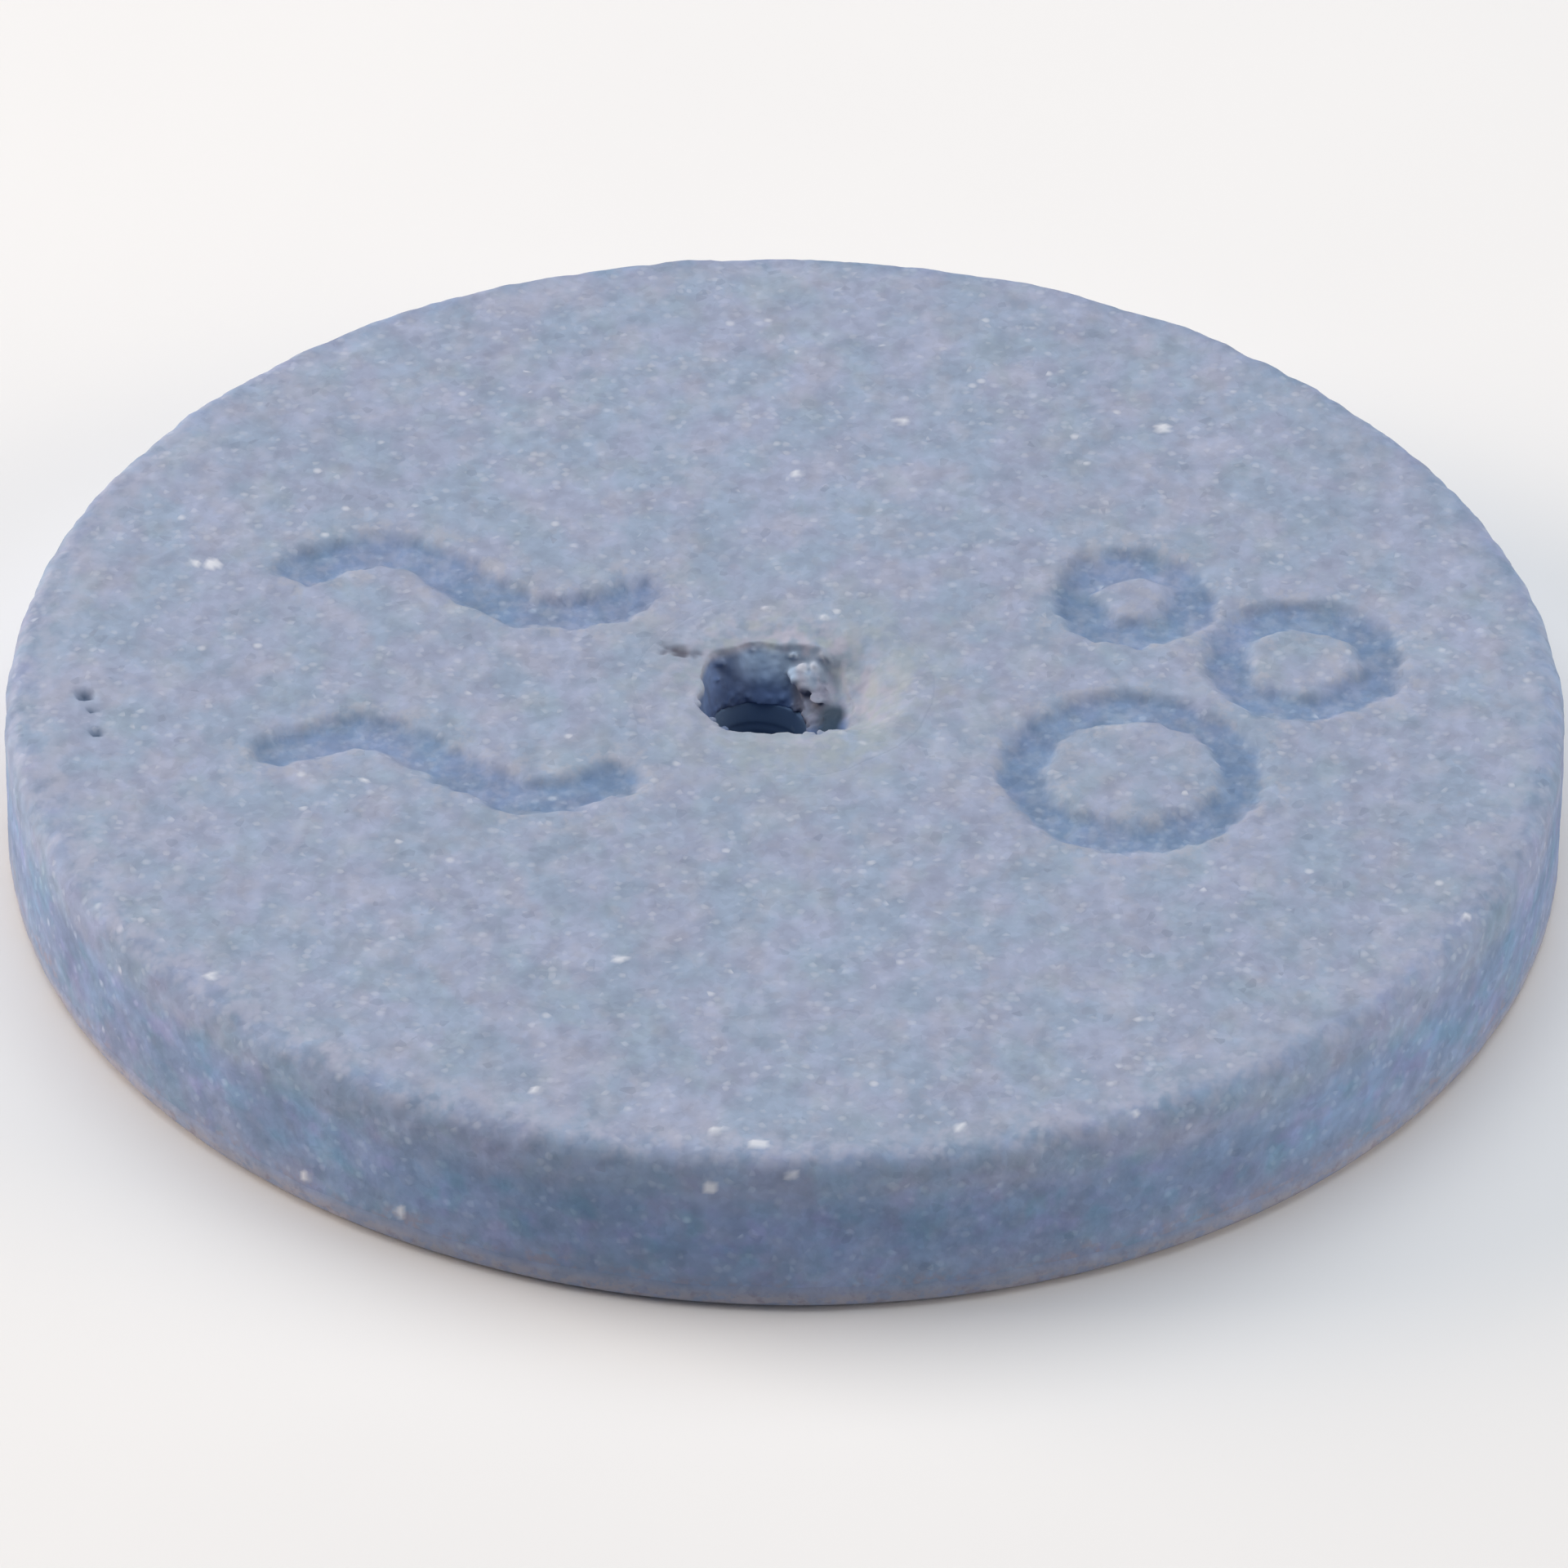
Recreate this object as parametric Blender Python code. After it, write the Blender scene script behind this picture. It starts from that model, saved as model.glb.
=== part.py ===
"""Flat round air stone: a porous mineral disc that turns a stream of air into fine bubbles.

An airline tube pushes into the rubber grommet in the middle of the disc. Air leaves the bush through the slots
at its foot, fills the flat chamber under the stone's roof and rises through the pores of the roof. The underside
is closed by a plate and sealed by a coat. +Z is up and the origin is the centre of the underside.
"""

import math

import bmesh
import bpy

MM = 0.001

# Driving dimensions
DISC_RADIUS = 50.0 * MM
DISC_HEIGHT = 11.5 * MM
TOP_EDGE_RADIUS = 1.5 * MM
FIT_GAP = 0.3 * MM

# Sealing coat of the underside
COAT_FLOOR = 0.7 * MM
COAT_WALL = 0.7 * MM
COAT_LAP_HEIGHT = 1.6 * MM
COAT_EDGE_RADIUS = 0.5 * MM

# Stone cup
STONE_BOTTOM = COAT_FLOOR + FIT_GAP
ROOF_THICKNESS = 5.8 * MM
ROOF_UNDERSIDE = DISC_HEIGHT - ROOF_THICKNESS
CUP_INNER_RADIUS = 44.0 * MM
BORE_RADIUS = 8.8 * MM

# Plate that closes the air chamber, its bond and its posts
PLATE_THICKNESS = 2.0 * MM
PLATE_TOP = STONE_BOTTOM + PLATE_THICKNESS
BOND_WIDTH = 1.4 * MM
BOND_OUTER_RADIUS = CUP_INNER_RADIUS - FIT_GAP
BOND_INNER_RADIUS = BOND_OUTER_RADIUS - BOND_WIDTH
PLATE_RADIUS = BOND_INNER_RADIUS - FIT_GAP
POST_RADIUS = 1.8 * MM
POST_CIRCLE_RADIUS = 28.0 * MM
POST_COUNT = 8
POST_ROOT = 0.4 * MM

# Air inlet, which stands a little to the left of the disc's axis
AIRLINE_RADIUS = 3.0 * MM
INLET_X = -1.8 * MM
GROMMET_WALL = 0.8 * MM
BUSH_BORE_RADIUS = AIRLINE_RADIUS + GROMMET_WALL + FIT_GAP
BUSH_OUTER_RADIUS = 5.6 * MM
BUSH_TOP = 6.8 * MM
BUSH_FOOT = PLATE_TOP + FIT_GAP
FLANGE_RADIUS = 13.0 * MM
FLANGE_BOTTOM = BUSH_FOOT + 0.6 * MM
FLANGE_THICKNESS = 0.7 * MM
FLANGE_TOP = FLANGE_BOTTOM + FLANGE_THICKNESS
SLOT_WIDTH = 3.4 * MM
GASKET_THICKNESS = 0.5 * MM
GASKET_BOTTOM = FLANGE_TOP + FIT_GAP
GROMMET_LIP_RADIUS = BUSH_OUTER_RADIUS - 0.4 * MM
GROMMET_LIP_THICKNESS = 0.6 * MM
GROMMET_LENGTH = 3.2 * MM
GROMMET_LEAD_IN = 0.3 * MM

# Collar of grain and resin in the stone's bore
COLLAR_RADIUS = BORE_RADIUS - FIT_GAP
COLLAR_TOP = DISC_HEIGHT - 0.4 * MM
COLLAR_BUSH_BORE_RADIUS = BUSH_OUTER_RADIUS + FIT_GAP
COLLAR_SHOULDER = BUSH_TOP + GROMMET_LIP_THICKNESS + 2.0 * FIT_GAP
MOUTH_RADIUS = 5.3 * MM
MOUTH_CENTRE = (-0.7 * MM, 0.2 * MM)
THROAT_RADIUS = 4.1 * MM
LEDGE_TOP = DISC_HEIGHT - 1.7 * MM
LEDGE_LEFT = 1.5 * MM
LEDGE_FRONT = -1.8 * MM
LEDGE_SIZE = 5.6 * MM

# Pressed marks: two waves to the left of the inlet and three bubbles to the right
MARK_DEPTH = 0.6 * MM
WAVE_STROKE = 3.4 * MM
WAVE_CENTRE_X = -21.0 * MM
WAVE_LENGTH = 23.0 * MM
WAVE_HEIGHT = 3.0 * MM
WAVE_ROWS_Y = (-10.0 * MM, 10.0 * MM)
BUBBLE_STROKE = 2.8 * MM
BUBBLES = (
    (22.5 * MM, -7.5 * MM, 7.0 * MM),
    (33.0 * MM, 5.5 * MM, 5.0 * MM),
    (22.0 * MM, 11.5 * MM, 3.8 * MM),
)

# Facets
DISC_SEGMENTS = 72
INLET_SEGMENTS = 36
POST_SEGMENTS = 12
EDGE_STEPS = 4
WAVE_STEPS = 20
SMOOTH_ANGLE = math.radians(35.0)


def clear_scene():
    for item in list(bpy.data.objects):
        bpy.data.objects.remove(item, do_unlink=True)


def make_material(name, colour, roughness, metallic=0.0):
    material = bpy.data.materials.new(name)
    material.use_nodes = True
    shader = material.node_tree.nodes["Principled BSDF"]
    shader.inputs["Base Color"].default_value = (*colour, 1.0)
    shader.inputs["Roughness"].default_value = roughness
    shader.inputs["Metallic"].default_value = metallic
    material.diffuse_color = (*colour, 1.0)
    return material


def stone_material():
    return make_material("bonded_blue_grain", (0.33, 0.39, 0.52), 0.92)


def collar_material():
    return make_material("grain_in_resin", (0.36, 0.40, 0.44), 0.70)


def coat_material():
    return make_material("sealing_coat", (0.27, 0.28, 0.35), 0.80)


def plate_material():
    return make_material("dense_mineral", (0.26, 0.29, 0.36), 0.85)


def bond_material():
    return make_material("cured_resin", (0.42, 0.41, 0.30), 0.35)


def bush_material():
    return make_material("moulded_plastic", (0.05, 0.08, 0.13), 0.45)


def rubber_material():
    return make_material("soft_rubber", (0.03, 0.035, 0.045), 0.80)


def arc_points(centre_r, centre_z, radius, start_degrees, end_degrees):
    """Points of a quarter round in a turned profile, as (radius, height) pairs."""
    points = []
    for step in range(EDGE_STEPS + 1):
        angle = math.radians(start_degrees + (end_degrees - start_degrees) * step / EDGE_STEPS)
        points.append((centre_r + radius * math.cos(angle), centre_z + radius * math.sin(angle)))
    return points


def finish_object(name, mesh_builder, material=None):
    """Turn a finished bmesh into a smooth-shaded object with outward faces."""
    bmesh.ops.remove_doubles(mesh_builder, verts=mesh_builder.verts, dist=1e-7)
    bmesh.ops.recalc_face_normals(mesh_builder, faces=mesh_builder.faces)
    mesh = bpy.data.meshes.new(name)
    mesh_builder.to_mesh(mesh)
    mesh_builder.free()
    mesh.shade_smooth()
    mesh.set_sharp_from_angle(angle=SMOOTH_ANGLE)
    piece = bpy.data.objects.new(name, mesh)
    bpy.context.scene.collection.objects.link(piece)
    if material is not None:
        mesh.materials.append(material)
    return piece


def turned(name, profile, segments, material=None):
    """An outline of (radius, height) points turned once round the Z axis.

    An outline that starts on the axis also ends on it; any other is closed into a ring.
    """
    builder = bmesh.new()
    verts = [builder.verts.new((radius, 0.0, height)) for radius, height in profile]
    edges = [builder.edges.new(pair) for pair in zip(verts, verts[1:])]
    if profile[0][0] > 0.0:
        edges.append(builder.edges.new((verts[-1], verts[0])))
    bmesh.ops.spin(
        builder,
        geom=verts + edges,
        cent=(0.0, 0.0, 0.0),
        axis=(0.0, 0.0, 1.0),
        angle=math.tau,
        steps=segments,
        use_merge=True,
        use_duplicate=False,
    )
    return finish_object(name, builder, material)


def prism(name, outline, low, high, material=None):
    """A flat outline of (x, y) points raised from one height to another."""
    builder = bmesh.new()
    verts = [builder.verts.new((x, y, low)) for x, y in outline]
    bottom = builder.faces.new(verts)
    raised = bmesh.ops.extrude_face_region(builder, geom=[bottom])
    moved = [item for item in raised["geom"] if isinstance(item, bmesh.types.BMVert)]
    bmesh.ops.translate(builder, verts=moved, vec=(0.0, 0.0, high - low))
    return finish_object(name, builder, material)


def funnel(name, low_outline, low, high_outline, high):
    """A solid that runs from one outline to another one with as many points."""
    builder = bmesh.new()
    bottom = [builder.verts.new((x, y, low)) for x, y in low_outline]
    top = [builder.verts.new((x, y, high)) for x, y in high_outline]
    builder.faces.new(bottom[::-1])
    builder.faces.new(top)
    for number in range(len(bottom)):
        following = (number + 1) % len(bottom)
        builder.faces.new((bottom[number], bottom[following], top[following]))
        builder.faces.new((bottom[number], top[following], top[number]))
    return finish_object(name, builder)


def circle_outline(radius, segments, centre=(0.0, 0.0)):
    angles = [math.tau * step / segments for step in range(segments)]
    return [(centre[0] + radius * math.cos(a), centre[1] + radius * math.sin(a)) for a in angles]


def combine(piece, tool, operation):
    """Join or cut a piece with a guide solid that stays hidden."""
    tool.hide_render = True
    tool.display_type = "WIRE"
    modifier = piece.modifiers.new(tool.name, "BOOLEAN")
    modifier.operation = operation
    modifier.solver = "EXACT"
    modifier.object = tool


def wave_outline(row_y):
    """A ribbon of constant width that follows one full wave."""
    left_side = []
    right_side = []
    phase_per_metre = math.tau / WAVE_LENGTH
    for step in range(WAVE_STEPS + 1):
        along = WAVE_LENGTH * (step / WAVE_STEPS - 0.5)
        rise = -WAVE_HEIGHT * math.sin(phase_per_metre * along)
        slope = -WAVE_HEIGHT * phase_per_metre * math.cos(phase_per_metre * along)
        length = math.hypot(1.0, slope)
        offset_x = -slope / length * WAVE_STROKE / 2.0
        offset_y = WAVE_STROKE / 2.0 / length
        x = WAVE_CENTRE_X + along
        y = row_y + rise
        left_side.append((x + offset_x, y + offset_y))
        right_side.append((x - offset_x, y - offset_y))
    return left_side + right_side[::-1]


def mouth_outline():
    """The ragged mouth of the inlet: a circle with three seams of broken grain."""
    points = []
    for step in range(INLET_SEGMENTS):
        angle = math.tau * step / INLET_SEGMENTS
        ragged = 0.045 * math.sin(3.0 * angle + 0.4) + 0.035 * math.sin(5.0 * angle + 1.9)
        radius = MOUTH_RADIUS * (1.0 + ragged + 0.02 * math.sin(8.0 * angle + 0.7))
        points.append((MOUTH_CENTRE[0] + radius * math.cos(angle), MOUTH_CENTRE[1] + radius * math.sin(angle)))
    return points


def build_stone_body():
    profile = [
        (CUP_INNER_RADIUS, STONE_BOTTOM),
        (DISC_RADIUS - COAT_WALL - FIT_GAP, STONE_BOTTOM),
        (DISC_RADIUS - COAT_WALL - FIT_GAP, COAT_LAP_HEIGHT + FIT_GAP),
        (DISC_RADIUS, COAT_LAP_HEIGHT + FIT_GAP),
    ]
    profile += arc_points(DISC_RADIUS - TOP_EDGE_RADIUS, DISC_HEIGHT - TOP_EDGE_RADIUS, TOP_EDGE_RADIUS, 0.0, 90.0)
    profile += [
        (BORE_RADIUS, DISC_HEIGHT),
        (BORE_RADIUS, ROOF_UNDERSIDE),
        (CUP_INNER_RADIUS, ROOF_UNDERSIDE),
    ]
    stone = turned("stone_body", profile, DISC_SEGMENTS, stone_material())
    cut_low = DISC_HEIGHT - MARK_DEPTH
    cut_high = DISC_HEIGHT + MARK_DEPTH
    for number, row_y in enumerate(WAVE_ROWS_Y, start=1):
        wave = prism(f"wave_cutter_{number}", wave_outline(row_y), cut_low, cut_high)
        combine(stone, wave, "DIFFERENCE")
    for number, (x, y, radius) in enumerate(BUBBLES, start=1):
        ring = [
            (radius - BUBBLE_STROKE / 2.0, cut_low),
            (radius + BUBBLE_STROKE / 2.0, cut_low),
            (radius + BUBBLE_STROKE / 2.0, cut_high),
            (radius - BUBBLE_STROKE / 2.0, cut_high),
        ]
        bubble = turned(f"bubble_cutter_{number}", ring, INLET_SEGMENTS)
        bubble.location = (x, y, 0.0)
        combine(stone, bubble, "DIFFERENCE")
    return stone


def build_inlet_collar():
    collar = prism(
        "inlet_collar",
        circle_outline(COLLAR_RADIUS, DISC_SEGMENTS // 2),
        ROOF_UNDERSIDE,
        COLLAR_TOP,
        collar_material(),
    )
    bush_seat = prism(
        "bush_seat_cutter",
        circle_outline(COLLAR_BUSH_BORE_RADIUS, INLET_SEGMENTS, (INLET_X, 0.0)),
        ROOF_UNDERSIDE - MM,
        COLLAR_SHOULDER,
    )
    throat = circle_outline(THROAT_RADIUS, INLET_SEGMENTS, (INLET_X, 0.0))
    mouth = funnel("mouth_cutter", throat, COLLAR_SHOULDER - FIT_GAP, mouth_outline(), COLLAR_TOP + MM)
    ledge_outline = [
        (LEDGE_LEFT, LEDGE_FRONT),
        (LEDGE_LEFT + LEDGE_SIZE, LEDGE_FRONT),
        (LEDGE_LEFT + LEDGE_SIZE, LEDGE_FRONT + LEDGE_SIZE),
        (LEDGE_LEFT + 0.4 * LEDGE_SIZE, LEDGE_FRONT + 1.3 * LEDGE_SIZE),
        (LEDGE_LEFT, LEDGE_FRONT + LEDGE_SIZE),
    ]
    ledge = prism("grain_ledge", ledge_outline, COLLAR_SHOULDER + 0.2 * MM, LEDGE_TOP)
    combine(collar, bush_seat, "DIFFERENCE")
    combine(collar, mouth, "DIFFERENCE")
    combine(collar, ledge, "UNION")
    return collar


def build_base_coat():
    profile = [(0.0, 0.0), (DISC_RADIUS - COAT_EDGE_RADIUS, 0.0)]
    profile += arc_points(DISC_RADIUS - COAT_EDGE_RADIUS, COAT_EDGE_RADIUS, COAT_EDGE_RADIUS, -90.0, 0.0)[1:]
    profile += [
        (DISC_RADIUS, COAT_LAP_HEIGHT),
        (DISC_RADIUS - COAT_WALL, COAT_LAP_HEIGHT),
        (DISC_RADIUS - COAT_WALL, COAT_FLOOR),
        (0.0, COAT_FLOOR),
    ]
    return turned("base_coat", profile, DISC_SEGMENTS, coat_material())


def build_closing_plate():
    plate = turned(
        "closing_plate",
        [(0.0, 0.0), (PLATE_RADIUS, 0.0), (PLATE_RADIUS, PLATE_THICKNESS), (0.0, PLATE_THICKNESS)],
        DISC_SEGMENTS,
        plate_material(),
    )
    plate.location.z = STONE_BOTTOM
    post_top = ROOF_UNDERSIDE - FIT_GAP
    for number in range(POST_COUNT):
        angle = math.tau * (number + 0.5) / POST_COUNT
        centre = (POST_CIRCLE_RADIUS * math.cos(angle), POST_CIRCLE_RADIUS * math.sin(angle))
        outline = circle_outline(POST_RADIUS, POST_SEGMENTS, centre)
        post = prism(f"roof_post_{number + 1}", outline, PLATE_TOP - POST_ROOT, post_top)
        combine(plate, post, "UNION")
    return plate


def build_plate_bond_ring():
    profile = [
        (BOND_INNER_RADIUS, 0.0),
        (BOND_OUTER_RADIUS, 0.0),
        (BOND_OUTER_RADIUS, PLATE_THICKNESS),
        (BOND_INNER_RADIUS, PLATE_THICKNESS),
    ]
    ring = turned("plate_bond_ring", profile, DISC_SEGMENTS, bond_material())
    ring.location.z = STONE_BOTTOM
    return ring


def build_inlet_bush():
    profile = [
        (BUSH_BORE_RADIUS, BUSH_FOOT),
        (BUSH_OUTER_RADIUS, BUSH_FOOT),
        (BUSH_OUTER_RADIUS, FLANGE_BOTTOM),
        (FLANGE_RADIUS, FLANGE_BOTTOM),
        (FLANGE_RADIUS, FLANGE_TOP),
        (BUSH_OUTER_RADIUS, FLANGE_TOP),
        (BUSH_OUTER_RADIUS, BUSH_TOP),
        (BUSH_BORE_RADIUS, BUSH_TOP),
    ]
    bush = turned("inlet_bush", profile, INLET_SEGMENTS, bush_material())
    bush.location.x = INLET_X
    reach = BUSH_OUTER_RADIUS + MM
    for name, half_x, half_y in (
        ("slot_cutter_x", reach, SLOT_WIDTH / 2.0),
        ("slot_cutter_y", SLOT_WIDTH / 2.0, reach),
    ):
        outline = [(-half_x, -half_y), (half_x, -half_y), (half_x, half_y), (-half_x, half_y)]
        slot = prism(name, outline, BUSH_FOOT - MM, FLANGE_BOTTOM)
        slot.location.x = INLET_X
        combine(bush, slot, "DIFFERENCE")
    return bush


def build_bush_gasket():
    profile = [
        (COLLAR_BUSH_BORE_RADIUS, 0.0),
        (FLANGE_RADIUS, 0.0),
        (FLANGE_RADIUS, GASKET_THICKNESS),
        (COLLAR_BUSH_BORE_RADIUS, GASKET_THICKNESS),
    ]
    gasket = turned("bush_gasket", profile, INLET_SEGMENTS, rubber_material())
    gasket.location = (INLET_X, 0.0, GASKET_BOTTOM)
    return gasket


def build_inlet_grommet():
    """A sleeve with a lip that rests on the bush and a tapered lead-in for the airline."""
    lip_bottom = BUSH_TOP + FIT_GAP
    lip_top = lip_bottom + GROMMET_LIP_THICKNESS
    sleeve_radius = AIRLINE_RADIUS + GROMMET_WALL
    profile = [
        (AIRLINE_RADIUS, lip_top - GROMMET_LENGTH),
        (sleeve_radius, lip_top - GROMMET_LENGTH),
        (sleeve_radius, lip_bottom),
        (GROMMET_LIP_RADIUS, lip_bottom),
        (GROMMET_LIP_RADIUS, lip_top),
        (AIRLINE_RADIUS + GROMMET_LEAD_IN, lip_top),
        (AIRLINE_RADIUS, lip_top - GROMMET_LEAD_IN),
    ]
    grommet = turned("inlet_grommet", profile, INLET_SEGMENTS, rubber_material())
    grommet.location.x = INLET_X
    return grommet


def main():
    clear_scene()
    root = bpy.data.objects.new("air_stone", None)
    bpy.context.scene.collection.objects.link(root)
    pieces = [
        build_stone_body(),
        build_inlet_collar(),
        build_base_coat(),
        build_closing_plate(),
        build_plate_bond_ring(),
        build_inlet_bush(),
        build_bush_gasket(),
        build_inlet_grommet(),
    ]
    for piece in pieces:
        piece.parent = root


main()
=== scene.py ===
"""Looks of the flat round air stone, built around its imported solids.

Lengths are millimetres until a mesh is made. Heights and radii come from the frame; the pressed marks stand
where the solid has them.
"""

import math

import bmesh
import bpy
import numpy as np
from mathutils import Matrix, Vector


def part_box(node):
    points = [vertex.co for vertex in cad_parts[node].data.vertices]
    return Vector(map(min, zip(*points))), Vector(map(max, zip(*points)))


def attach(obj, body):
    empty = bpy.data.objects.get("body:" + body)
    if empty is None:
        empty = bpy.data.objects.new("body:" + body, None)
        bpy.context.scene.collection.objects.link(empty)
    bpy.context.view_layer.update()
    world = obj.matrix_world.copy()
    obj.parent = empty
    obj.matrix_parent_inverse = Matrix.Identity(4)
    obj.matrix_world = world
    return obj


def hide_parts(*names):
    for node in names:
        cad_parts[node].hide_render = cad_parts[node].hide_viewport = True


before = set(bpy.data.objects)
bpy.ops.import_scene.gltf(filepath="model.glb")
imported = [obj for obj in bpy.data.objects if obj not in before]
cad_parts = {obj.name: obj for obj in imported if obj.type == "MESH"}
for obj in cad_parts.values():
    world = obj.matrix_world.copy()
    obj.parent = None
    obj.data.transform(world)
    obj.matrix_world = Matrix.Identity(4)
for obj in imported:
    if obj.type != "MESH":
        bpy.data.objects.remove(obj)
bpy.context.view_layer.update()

MM = 0.001


def box_mm(node):
    low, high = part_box(node)
    return np.array(low) / MM, np.array(high) / MM


STONE_LOW, STONE_HIGH = box_mm("stone_body")
COAT_LOW, COAT_HIGH = box_mm("base_coat")
COLLAR_LOW, COLLAR_HIGH = box_mm("inlet_collar")
GROMMET_LOW, GROMMET_HIGH = box_mm("inlet_grommet")
BOND_HIGH = box_mm("plate_bond_ring")[1]

# Stone
RADIUS = STONE_HIGH[0]
TOP = STONE_HIGH[2]
STONE_BOTTOM = STONE_LOW[2]
ROOF_UNDERSIDE = COLLAR_LOW[2]
GLUE_GAP = 0.3
CUP_RADIUS = BOND_HIGH[0] + GLUE_GAP
BORE_RADIUS = COLLAR_HIGH[0] + GLUE_GAP
TOP_EDGE_RADIUS = 1.5
BIG_GRAIN = 1.1
SMALL_GRAIN = 0.7

# Mesh fineness
FINE_STEP = 0.36
RIM_POINTS = 824
FEWEST_RING_POINTS = 160
VOXEL = 0.14

# Coat
COAT_LAP = COAT_HIGH[2]
COAT_FEATHER = 0.9
COAT_TUCK = 0.30
COAT_EDGE_RADIUS = 1.1
COAT_FLOOR = 0.7
COAT_HUB = 0.4

# Inlet
INLET_X = (GROMMET_LOW[0] + GROMMET_HIGH[0]) / 2.0
AIRLINE_RADIUS = 3.0
GROMMET_LIP_RADIUS = (GROMMET_HIGH[0] - GROMMET_LOW[0]) / 2.0
SEAT_RADIUS = 5.9
SEAM_RADIUS = 9.6
SEAM_DROP = 0.6
THROAT_RADIUS = 3.10
THROAT_Z = GROMMET_HIGH[2] + 0.02
MOUTH_CENTRE = (-0.7, 0.2)
MOUTH_RADIUS = 5.3
LEDGE_LEFT = 1.4
LEDGE_FRONT = 0.2
LEDGE_RIGHT = 5.9
LEDGE_BACK = ((LEDGE_RIGHT, 3.2), (3.8, 5.4), (0.4, 5.2), (0.5, 3.4), (LEDGE_LEFT, 1.2))
LEDGE_DEPTH = 2.5
LEDGE_SLOPE = 0.5
CRACK_ENDS = ((-7.9, 3.6), (-6.2, 3.2))
GRAIN_SEED = 7

# Pressed marks
MARK_DEPTH = 0.6
MARK_SLOPE = 1.1
WAVE_HALF_STROKE = 1.7
WAVE_CENTRE_X = -21.0
WAVE_LENGTH = 23.0
WAVE_HEIGHT = 3.0
WAVE_ROWS_Y = (-10.0, 10.0)
WAVE_STEPS = 61
BUBBLE_HALF_STROKE = 1.4
BUBBLES = ((22.5, -7.5, 7.0), (33.0, 5.5, 5.0), (22.0, 11.5, 3.8))

# Small damage on the top face: x, y, radius, depth
PITS = ((-44.6, -4.4, 0.75, 0.55), (-43.4, -8.5, 0.6, 0.45), (-44.1, -6.1, 0.4, 0.3))

# Large pale grains: x, y, depth below the top face, radius
PALE_GRAINS = (
    (-37.8, 10.4, 0.0, 0.50), (-38.9, 10.5, 0.0, 0.30), (-1.6, -46.8, 0.0, 0.35),
    (1.1, -47.9, 0.1, 0.45), (13.3, -45.4, 0.0, 0.35), (-12.9, -43.6, 0.0, 0.25),
    (-1.7, -50.0, 2.1, 0.40), (3.4, -49.9, 0.8, 0.30), (-27.3, -41.9, 9.0, 0.40),
    (-21.1, -45.3, 8.6, 0.35), (-33.7, -33.5, 0.0, 0.30), (43.9, -21.2, 0.0, 0.25),
    (24.0, -42.9, 0.2, 0.30), (23.2, 30.8, 0.0, 0.35), (6.0, 30.4, 0.0, 0.30),
    (-0.7, 23.7, 0.0, 0.35), (-26.1, -12.3, 0.0, 0.20), (-8.6, -29.9, 0.0, 0.25),
    (-23.6, -27.3, 0.0, 0.25),
)
INLET_GRAINS = (
    (0.9, 3.8, 1.20, 0.32), (1.7, 3.9, 1.10, 0.34), (3.9, -4.7, 0.15, 0.36),
    (5.2, -5.8, 0.20, 0.28), (4.4, 3.5, 1.10, 0.25), (8.3, 3.4, 0.20, 0.20),
    (-1.7, 8.3, 0.10, 0.30), (2.1, 7.6, 0.10, 0.28),
)

# Soft lights: name, place, size, power in watts, colour
LIGHTS = (
    ("overhead", (-60.0, 260.0, 1000.0), 1300.0, 9.6, (0.925, 0.98, 1.03)),
    ("left_fill", (-900.0, 130.0, 260.0), 600.0, 10.4, (1.0, 0.82, 0.66)),
    ("right_fill", (900.0, -60.0, 260.0), 600.0, 5.7, (1.0, 0.86, 0.72)),
)
ROOM_COLOUR = (0.80, 0.92, 1.12)
ROOM_STRENGTH = 0.10
BACKDROP_COLOUR = (0.94, 0.945, 0.95)
FLOOR_HALF_WIDTH = 900.0
FLOOR_STEPS = 12
FLOOR_DROP = 0.02

# Camera
CAMERA_AZIMUTH = 2.7
CAMERA_ELEVATION = 35.85
CAMERA_DISTANCE = 837.7
CAMERA_LENS = 300.0
CAMERA_ROLL = 1.02
CAMERA_AIM_DROP = 6.33

# Texture places in the unit square: seen from above, strips of wall over that, seen from below beside it
LAYOUT_MARGIN = 0.005
ABOVE_SPAN = 0.65
BELOW_SPAN = 0.33
STRIPS = 4
STRIPS_START = 0.665
STRIP_LENGTH = 0.55
STRIP_PITCH = 0.083
STRIP_HEIGHT = 0.078


# ---- repeatable noise


def lattice_random(cells, salt):
    """Numbers in 0..1 that depend only on whole-number cell places and a salt."""
    mixed = cells[:, 0].astype(np.uint64) * np.uint64(0x9E3779B185EBCA87)
    mixed ^= cells[:, 1].astype(np.uint64) * np.uint64(0xC2B2AE3D27D4EB4F)
    mixed ^= cells[:, 2].astype(np.uint64) * np.uint64(0x165667B19E3779F9)
    mixed += np.uint64(salt) * np.uint64(0x27D4EB2F165667C5)
    mixed ^= mixed >> np.uint64(29)
    mixed *= np.uint64(0xBF58476D1CE4E5B9)
    mixed ^= mixed >> np.uint64(32)
    return (mixed >> np.uint64(40)).astype(float) / float(1 << 24)


def smooth_noise(points, size, salt):
    """Soft noise in -1..1 whose lumps are about size across."""
    scaled = points / size + 1000.0
    base = np.floor(scaled).astype(np.int64)
    part = scaled - base
    part = part * part * (3.0 - 2.0 * part)
    total = np.zeros(len(points))
    for corner in range(8):
        offset = np.array([corner & 1, corner >> 1 & 1, corner >> 2 & 1])
        weight = np.prod(np.where(offset == 1, part, 1.0 - part), axis=1)
        total += weight * lattice_random(base + offset, salt)
    return 2.0 * total - 1.0


def layered_noise(points, size, layers, salt):
    total = np.zeros(len(points))
    for layer in range(layers):
        total += smooth_noise(points, size / 2.0**layer, salt + layer) / 2.0**layer
    return total


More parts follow.
